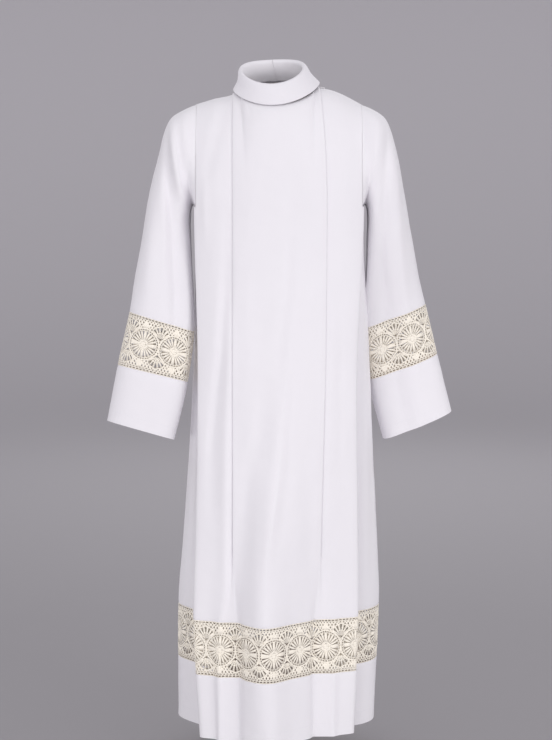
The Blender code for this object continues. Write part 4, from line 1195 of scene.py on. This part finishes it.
def build_panel(name, creases):
    """The front or back with its lace and hem."""
    panel = Panel(name, creases)
    net, wanted = panel.body()
    facing = panel.outward
    upper = net.copy()
    upper[ARCH_ROWS:] = dipped(net[ARCH_ROWS:], facing, bottom=True)
    normals = facing_normals(net, facing, wanted=wanted)
    normals[-1, :, 2] = 0
    normals[0, :, 1] = 0
    edges = np.flatnonzero(panel.has_top)[[0, -1]]
    normals[: ARCH_ROWS + 1, edges, 0] = 0
    body = shell(name, upper, WHITE, facing, wanted=wanted, normals=unit(normals))
    lace_net = panel.tier(LACE_TOP - SEAM / 2, LACE_BOTTOM + SEAM / 2)
    middle_row = lace_net[len(lace_net) // 2]
    along = np.concatenate([[0], np.cumsum(np.linalg.norm(np.diff(middle_row, axis=0), axis=1))])
    centre = float(along[np.argmin(abs(middle_row[:, 0] - LACE_CENTRE_X))])
    lace = make_lace(f"lace_{name}", lace_net, facing, middle=centre)
    hem_net = dipped(panel.tier(LACE_BOTTOM - SEAM / 2, HEM), facing, top=True)
    hem = shell(f"hem_{name}", hem_net, WHITE, facing)
    seam = stitch_rows(f"stitches_{name}", [row_line(upper[ARCH_ROWS:], FROM_SEAM, True)], facing)
    return panel, net, (body, seam), lace, (hem, stitch_hem(name, hem_net, facing))


def stitch_hem(name, net, outward):
    """The two rows of stitches on the plain band under the lace of a panel or gore."""
    rows = [row_line(net, FROM_SEAM), row_line(net, FROM_HEM, True)]
    return stitch_rows(f"stitches_hem_{name}", rows, outward)


def build_gore(side_name):
    name, outward = f"gore_{side_name}", -SIDES[side_name]
    upper = dipped(gore_net(side_name, rows_between(CHEST, LACE_TOP + SEAM / 2)), outward, bottom=True)
    body = shell(name, upper, WHITE, outward)
    lace_net = gore_net(side_name, rows_between(LACE_TOP - SEAM / 2, LACE_BOTTOM + SEAM / 2))
    middle = np.linalg.norm(np.diff(lace_net[len(lace_net) // 2], axis=0), axis=1).sum() / 2
    lace = make_lace(f"lace_{name}", lace_net, outward, middle=middle)
    hem_net = dipped(gore_net(side_name, rows_between(LACE_BOTTOM - SEAM / 2, HEM)), outward, top=True)
    hem = shell(f"hem_{name}", hem_net, WHITE, outward)
    seam = stitch_rows(f"stitches_{name}", [row_line(upper, FROM_SEAM, True)], outward)
    return upper, (body, seam), lace, (hem, stitch_hem(name, hem_net, outward))


def sleeve_start(side, front_net, back_net, front, back, gore_top):
    """The first ring of a sleeve, SEAM outside the armhole: over the front, under the arm, up the back."""
    pick = 0 if side < 0 else -1
    front_edge = front_net[: ARCH_ROWS + 1, np.flatnonzero(front.has_top)[pick]]
    back_edge = back_net[: ARCH_ROWS + 1, np.flatnonzero(back.has_top)[pick]]
    inset = len(gore_top) // 6
    on_gore = gore_top[[inset, len(gore_top) // 2, -1 - inset]] + (0, 0, SEAM)
    under = curve_through(np.array([front_edge[-1], *on_gore, back_edge[-1]]), [UNDERARM_CUTS] * 4)
    ridge = np.array([[front_edge[0][0], 0, front_edge[0][2]]])
    ring = np.concatenate([ridge, front_edge[1:-1], under, back_edge[1:-1][::-1]])
    return ring + (side * SEAM, 0, 0)


def sleeve_angles(under_points):
    """Angles round a sleeve ring that pair with the armhole's points."""
    over = [CORNER * i / ARCH_ROWS for i in range(ARCH_ROWS)]
    under = np.linspace(CORNER, 2 * pi - CORNER, under_points)
    return np.concatenate([over, under, [2 * pi - a for a in over[:0:-1]]])


def sleeve_ring(side, ring, angles, edge_squareness):
    """A rounded oblong, squarer at the front of its inner edge."""
    outer = np.array([side * ring.outer_x, ring.middle_y, ring.outer_z])
    inner = np.array([side * ring.inner_x, ring.middle_y, ring.inner_z])
    middle, half = (outer + inner) / 2, (outer - inner) / 2
    c, s = np.cos(angles), np.sin(angles)
    power = 2 / np.where((c < 0) & (s > 0), edge_squareness, SQUARENESS)
    along, front = (np.sign(f) * np.abs(f) ** power for f in (c, s))
    return middle + along[:, None] * half + front[:, None] * np.array([0, -ring.half_depth, ring.lift])


def creased_sleeve(side_name, net):
    """The sleeve's net with its creases, and its normals."""
    side = SIDES[side_name]
    faces = triangles_of(net, closed=True)[0]
    normals = corner_normals(net.reshape(-1, 3), faces).reshape(net.shape) * side
    down = np.concatenate([[0], np.cumsum(np.linalg.norm(np.diff(net, axis=0), axis=2).mean(axis=1))])
    free = ease(down / SLEEVE_EASE)[:, None]
    x, y, z = np.moveaxis(net, -1, 0)
    front, back = (relief(creases, x, z) for creases in SLEEVE_CREASES[side_name])
    on_front, on_back = (ease(sign * SLEEVE_TURN * normals[..., 1]) for sign in (-1, 1))
    push = on_front * front + on_back * back + ripple(x + y, z)
    groove = ARMHOLE_DIP * np.exp(-((down / ARMHOLE_REACH) ** 2)) * (down > 0)
    net = net + normals * (free * push - groove[:, None])[..., None]
    normals = corner_normals(net.reshape(-1, 3), faces).reshape(net.shape) * side
    normals[0, :, 0] = 0
    return net, unit(normals)


def build_sleeve(side_name, start):
    """A sleeve with its lace and cuff, in three tiers of one net."""
    side = SIDES[side_name]
    angles = sleeve_angles(len(start) - 2 * ARCH_ROWS + 1)
    shaped = zip(SLEEVES[side_name], EDGE_SQUARENESS)
    rings = np.array([start] + [sleeve_ring(side, ring, angles, edge) for ring, edge in shaped])
    gaps = np.linalg.norm(np.diff(rings, axis=0), axis=2).max(axis=1)
    cuts = np.maximum(2, np.ceil(gaps / SLEEVE_ROW_STEP).astype(int)).tolist()
    net = curve_through(rings.transpose(1, 0, 2), cuts).transpose(1, 0, 2)
    net, normals = creased_sleeve(side_name, net)
    ends = [0, sum(cuts[:LACE_RING]), sum(cuts[:CUFF_RING]), len(net) - 1]
    tiers = [net[first : last + 1].copy() for first, last in zip(ends, ends[1:])]
    for tier in tiers[1:]:
        tier[0] += unit(tier[1] - tier[0]) * SEAM / 2
    for tier in tiers[:-1]:
        tier[-1] += unit(tier[-2] - tier[-1]) * SEAM / 2
    upper = dipped(tiers[0], side, closed=True, bottom=True)
    cuff = dipped(tiers[2], side, closed=True, top=True)
    upper_normals, cuff_normals = normals[: ends[1] + 1], normals[ends[2] :]
    body = shell(f"sleeve_{side_name}", upper, WHITE, side, closed=True, normals=upper_normals)
    lace = make_lace(f"sleeve_lace_{side_name}", tiers[1], side, closed=True, middle=SLEEVE_WHEEL)
    hem = shell(f"cuff_{side_name}", cuff, WHITE, side, closed=True, normals=cuff_normals)
    seam = stitch_rows(f"stitches_sleeve_{side_name}", [row_line(upper, FROM_SEAM, True, True)], side)
    rows = [row_line(cuff, FROM_SEAM, closed=True), row_line(cuff, FROM_CUFF, True, True)]
    return (body, seam), lace, (hem, stitch_rows(f"stitches_cuff_{side_name}", rows, side))


def build_collar():
    """One folded strip: a stand up from the neckline, a roll, and the fall over it, open at the back."""
    split = COLLAR_OPENING / 2 / COLLAR_RINGS[0].back
    around = np.linspace(pi + split, 3 * pi - split, COLLAR_COLUMNS + 1)
    rings = np.array([ring_points(ring, around) for ring in COLLAR_RINGS])
    gaps = np.linalg.norm(np.diff(rings, axis=0), axis=2).max(axis=1)
    cuts = np.maximum(3, np.ceil(gaps / COLLAR_STEP).astype(int)).tolist()
    net = curve_through(rings.transpose(1, 0, 2), cuts).transpose(1, 0, 2)
    collar = shell("collar", net, COLLAR_WHITE, 1, wall=COLLAR_CLOTH, flat_ends=False)
    rows = [row_line(net, FROM_COLLAR_EDGE, True)]
    seam = stitch_rows("stitches_collar", rows, 1, pitch=COLLAR_STITCH_PITCH)
    return collar, seam


def build_placket(back_net):
    """A strip over the centre back opening, made from the back's own points, moved out."""
    centre = int(np.argmin(np.abs(back_net[-1, :, 0])))
    rows = [row for row in back_net if PLACKET_BOTTOM < row[centre, 2] < PLACKET_TOP]
    strip = []
    for row in rows:
        near = row[centre - PLACKET_REACH : centre + PLACKET_REACH + 1]
        across = row[centre, 0] + PLACKET_WIDTH * np.linspace(-0.5, 0.5, PLACKET_COLUMNS + 1)
        y, z = (np.interp(across, near[:, 0], near[:, k]) for k in (1, 2))
        strip.append(np.column_stack([across, y, z]))
    strip = np.array(strip)
    normals = facing_normals(strip, 1)
    net = strip + normals * (PLACKET_GAP + CLOTH)
    placket = shell("back_placket", net, WHITE, 1)
    lines = [(net[:, column], normals[:, column]) for column in (1, -2)]
    return placket, stitch_rows("stitches_placket", lines, 1)


def build_robe():
    """Each node's piece, with the pieces that go with it."""
    front, front_net, front_body, front_lace, front_hem = build_panel("front", FRONT_CREASES)
    back, back_net, back_body, back_lace, back_hem = build_panel("back", BACK_CREASES)
    built = {
        "front": front_body, "lace_front": (front_lace,), "hem_front": front_hem,
        "back": back_body, "lace_back": (back_lace,), "hem_back": back_hem,
    }
    for side_name, side in SIDES.items():
        gore, body, lace, hem = build_gore(side_name)
        built[f"gore_{side_name}"] = body
        built[f"lace_gore_{side_name}"] = (lace,)
        built[f"hem_gore_{side_name}"] = hem
        start = sleeve_start(side, front_net, back_net, front, back, gore[0])
        body, lace, hem = build_sleeve(side_name, start)
        built[f"sleeve_{side_name}"] = body
        built[f"sleeve_lace_{side_name}"] = (lace,)
        built[f"cuff_{side_name}"] = hem
    built["collar"] = build_collar()
    built["back_placket"] = build_placket(back_net)
    return built


# The cut of each sheet: its greatest width and length, and its area where it isn't a rectangle. A sleeve's
# width is all round it, and a pleat's underlay counts in its panel's width.
Cut = namedtuple("Cut", "width length held slot rests_on area", defaults=[(), None])

for node, (piece, *going_with) in build_robe().items():
    declare(piece, node, going_with)


# The studio


FLOOR_DROP = 0.1  # of the floor below the hem
FLOOR_RADIUS, BEND_START = 2.0, 4.0
BACKDROP_REACH, BACKDROP_HEIGHT = 5.0, 3.2
BACKDROP_TURNS, BACKDROP_ROWS = 96, 24
# Floor tones from the middle out to the backdrop's top: painted shade near the middle and painted light
# farther out, to even out how the backdrop is lit.
NEAR_GREY_PAINTED_SHADE, FAR_GREY_PAINTED_LIGHT = (0.322, 0.31, 0.327, 1), (0.555, 0.535, 0.565, 1)
LIGHT_SPREAD = radians(120)  # keeps the lights off the floor right below them
LIGHT_AIM = (0, 0, -1.0)
WORLD_COLOUR, WORLD_STRENGTH = (0.98, 0.97, 1, 1), 0.75


def build_studio():
    """A plain grey floor that runs up into a round backdrop. Above its top edge the world's light shows."""
    profile = [(0.0, 0.0), (FLOOR_RADIUS, 0.0)]
    bend = np.linspace(0, pi / 2, BACKDROP_ROWS)
    profile += [(BEND_START + BACKDROP_REACH * sin(a), BACKDROP_HEIGHT * (1 - cos(a))) for a in bend]
    round_it = np.linspace(0, 2 * pi, BACKDROP_TURNS, endpoint=False)
    floor_z = CAD_BOUNDS[0].z - FLOOR_DROP
    circle = np.stack([np.cos(round_it), np.sin(round_it), 0 * round_it], axis=1)
    points = np.array([radius * circle + (0, 0, floor_z + height) for radius, height in profile])
    faces = triangles_of(points, closed=True)[0]
    material, nodes, links, shader = new_material("studio_grey")
    place = nodes.new("ShaderNodeTexCoord")
    far = nodes.new("ShaderNodeVectorMath")
    far.operation = "LENGTH"
    links.new(place.outputs["Object"], far.inputs[0])
    # The grey grows lighter with the distance from the middle: painted light and shade that even out the
    # backdrop's lighting.
    share = nodes.new("ShaderNodeMapRange")
    share.inputs["From Min"].default_value = FLOOR_RADIUS
    share.inputs["From Max"].default_value = profile[-1][0]
    links.new(far.outputs["Value"], share.inputs["Value"])
    tone = nodes.new("ShaderNodeMix")
    tone.data_type = "RGBA"
    tone.inputs["A"].default_value = NEAR_GREY_PAINTED_SHADE
    tone.inputs["B"].default_value = FAR_GREY_PAINTED_LIGHT
    links.new(share.outputs["Result"], tone.inputs["Factor"])
    links.new(tone.outputs["Result"], shader.inputs["Base Color"])
    shader.inputs["Roughness"].default_value = 0.9
    shader.inputs["Specular IOR Level"].default_value = 0.1
    add_mesh("studio_floor", points.reshape(-1, 3), faces, material)


def add_light(name, place, size, watts, colour=(1, 1, 1)):
    light = bpy.data.lights.new(name, "AREA")
    light.shape, light.size, light.size_y = "RECTANGLE", *size
    light.energy, light.color, light.spread = watts, colour, LIGHT_SPREAD
    obj = bpy.data.objects.new(name, light)
    obj.location = place
    obj.visible_camera = False
    obj.rotation_euler = (Vector(LIGHT_AIM) - Vector(place)).to_track_quat("-Z", "Y").to_euler()
    bpy.context.scene.collection.objects.link(obj)


CAMERA_PLACE = (-0.0066, -3.6, -0.08)  # level with the chest
CAMERA_DOWN = radians(8.37)
SENSOR_MM, LENS_MM = 36, 78.7


def build_camera():
    data = bpy.data.cameras.new("camera")
    data.sensor_width, data.lens = SENSOR_MM, LENS_MM
    camera = bpy.data.objects.new("camera", data)
    camera.location = CAMERA_PLACE
    camera.rotation_euler = (pi / 2 - CAMERA_DOWN, 0, 0)
    bpy.context.scene.collection.objects.link(camera)
    bpy.context.scene.camera = camera


def build_world():
    world = bpy.data.worlds.new("studio")
    world.use_nodes = True
    background = world.node_tree.nodes["Background"]
    background.inputs["Color"].default_value = WORLD_COLOUR
    background.inputs["Strength"].default_value = WORLD_STRENGTH
    bpy.context.scene.world = world
    bpy.context.scene.view_settings.view_transform = "Standard"


build_studio()
build_world()
add_light("key", place=(3.6, -4.3, -0.6), size=(4.0, 1.6), watts=57, colour=(1, 0.99, 0.985))
add_light("fill", place=(-3.0, -4.6, -0.8), size=(4.0, 1.2), watts=42.5, colour=(1, 0.99, 0.995))
add_light("back", place=(0.5, 4.4, 1.4), size=(2.4, 1.6), watts=27)
build_camera()
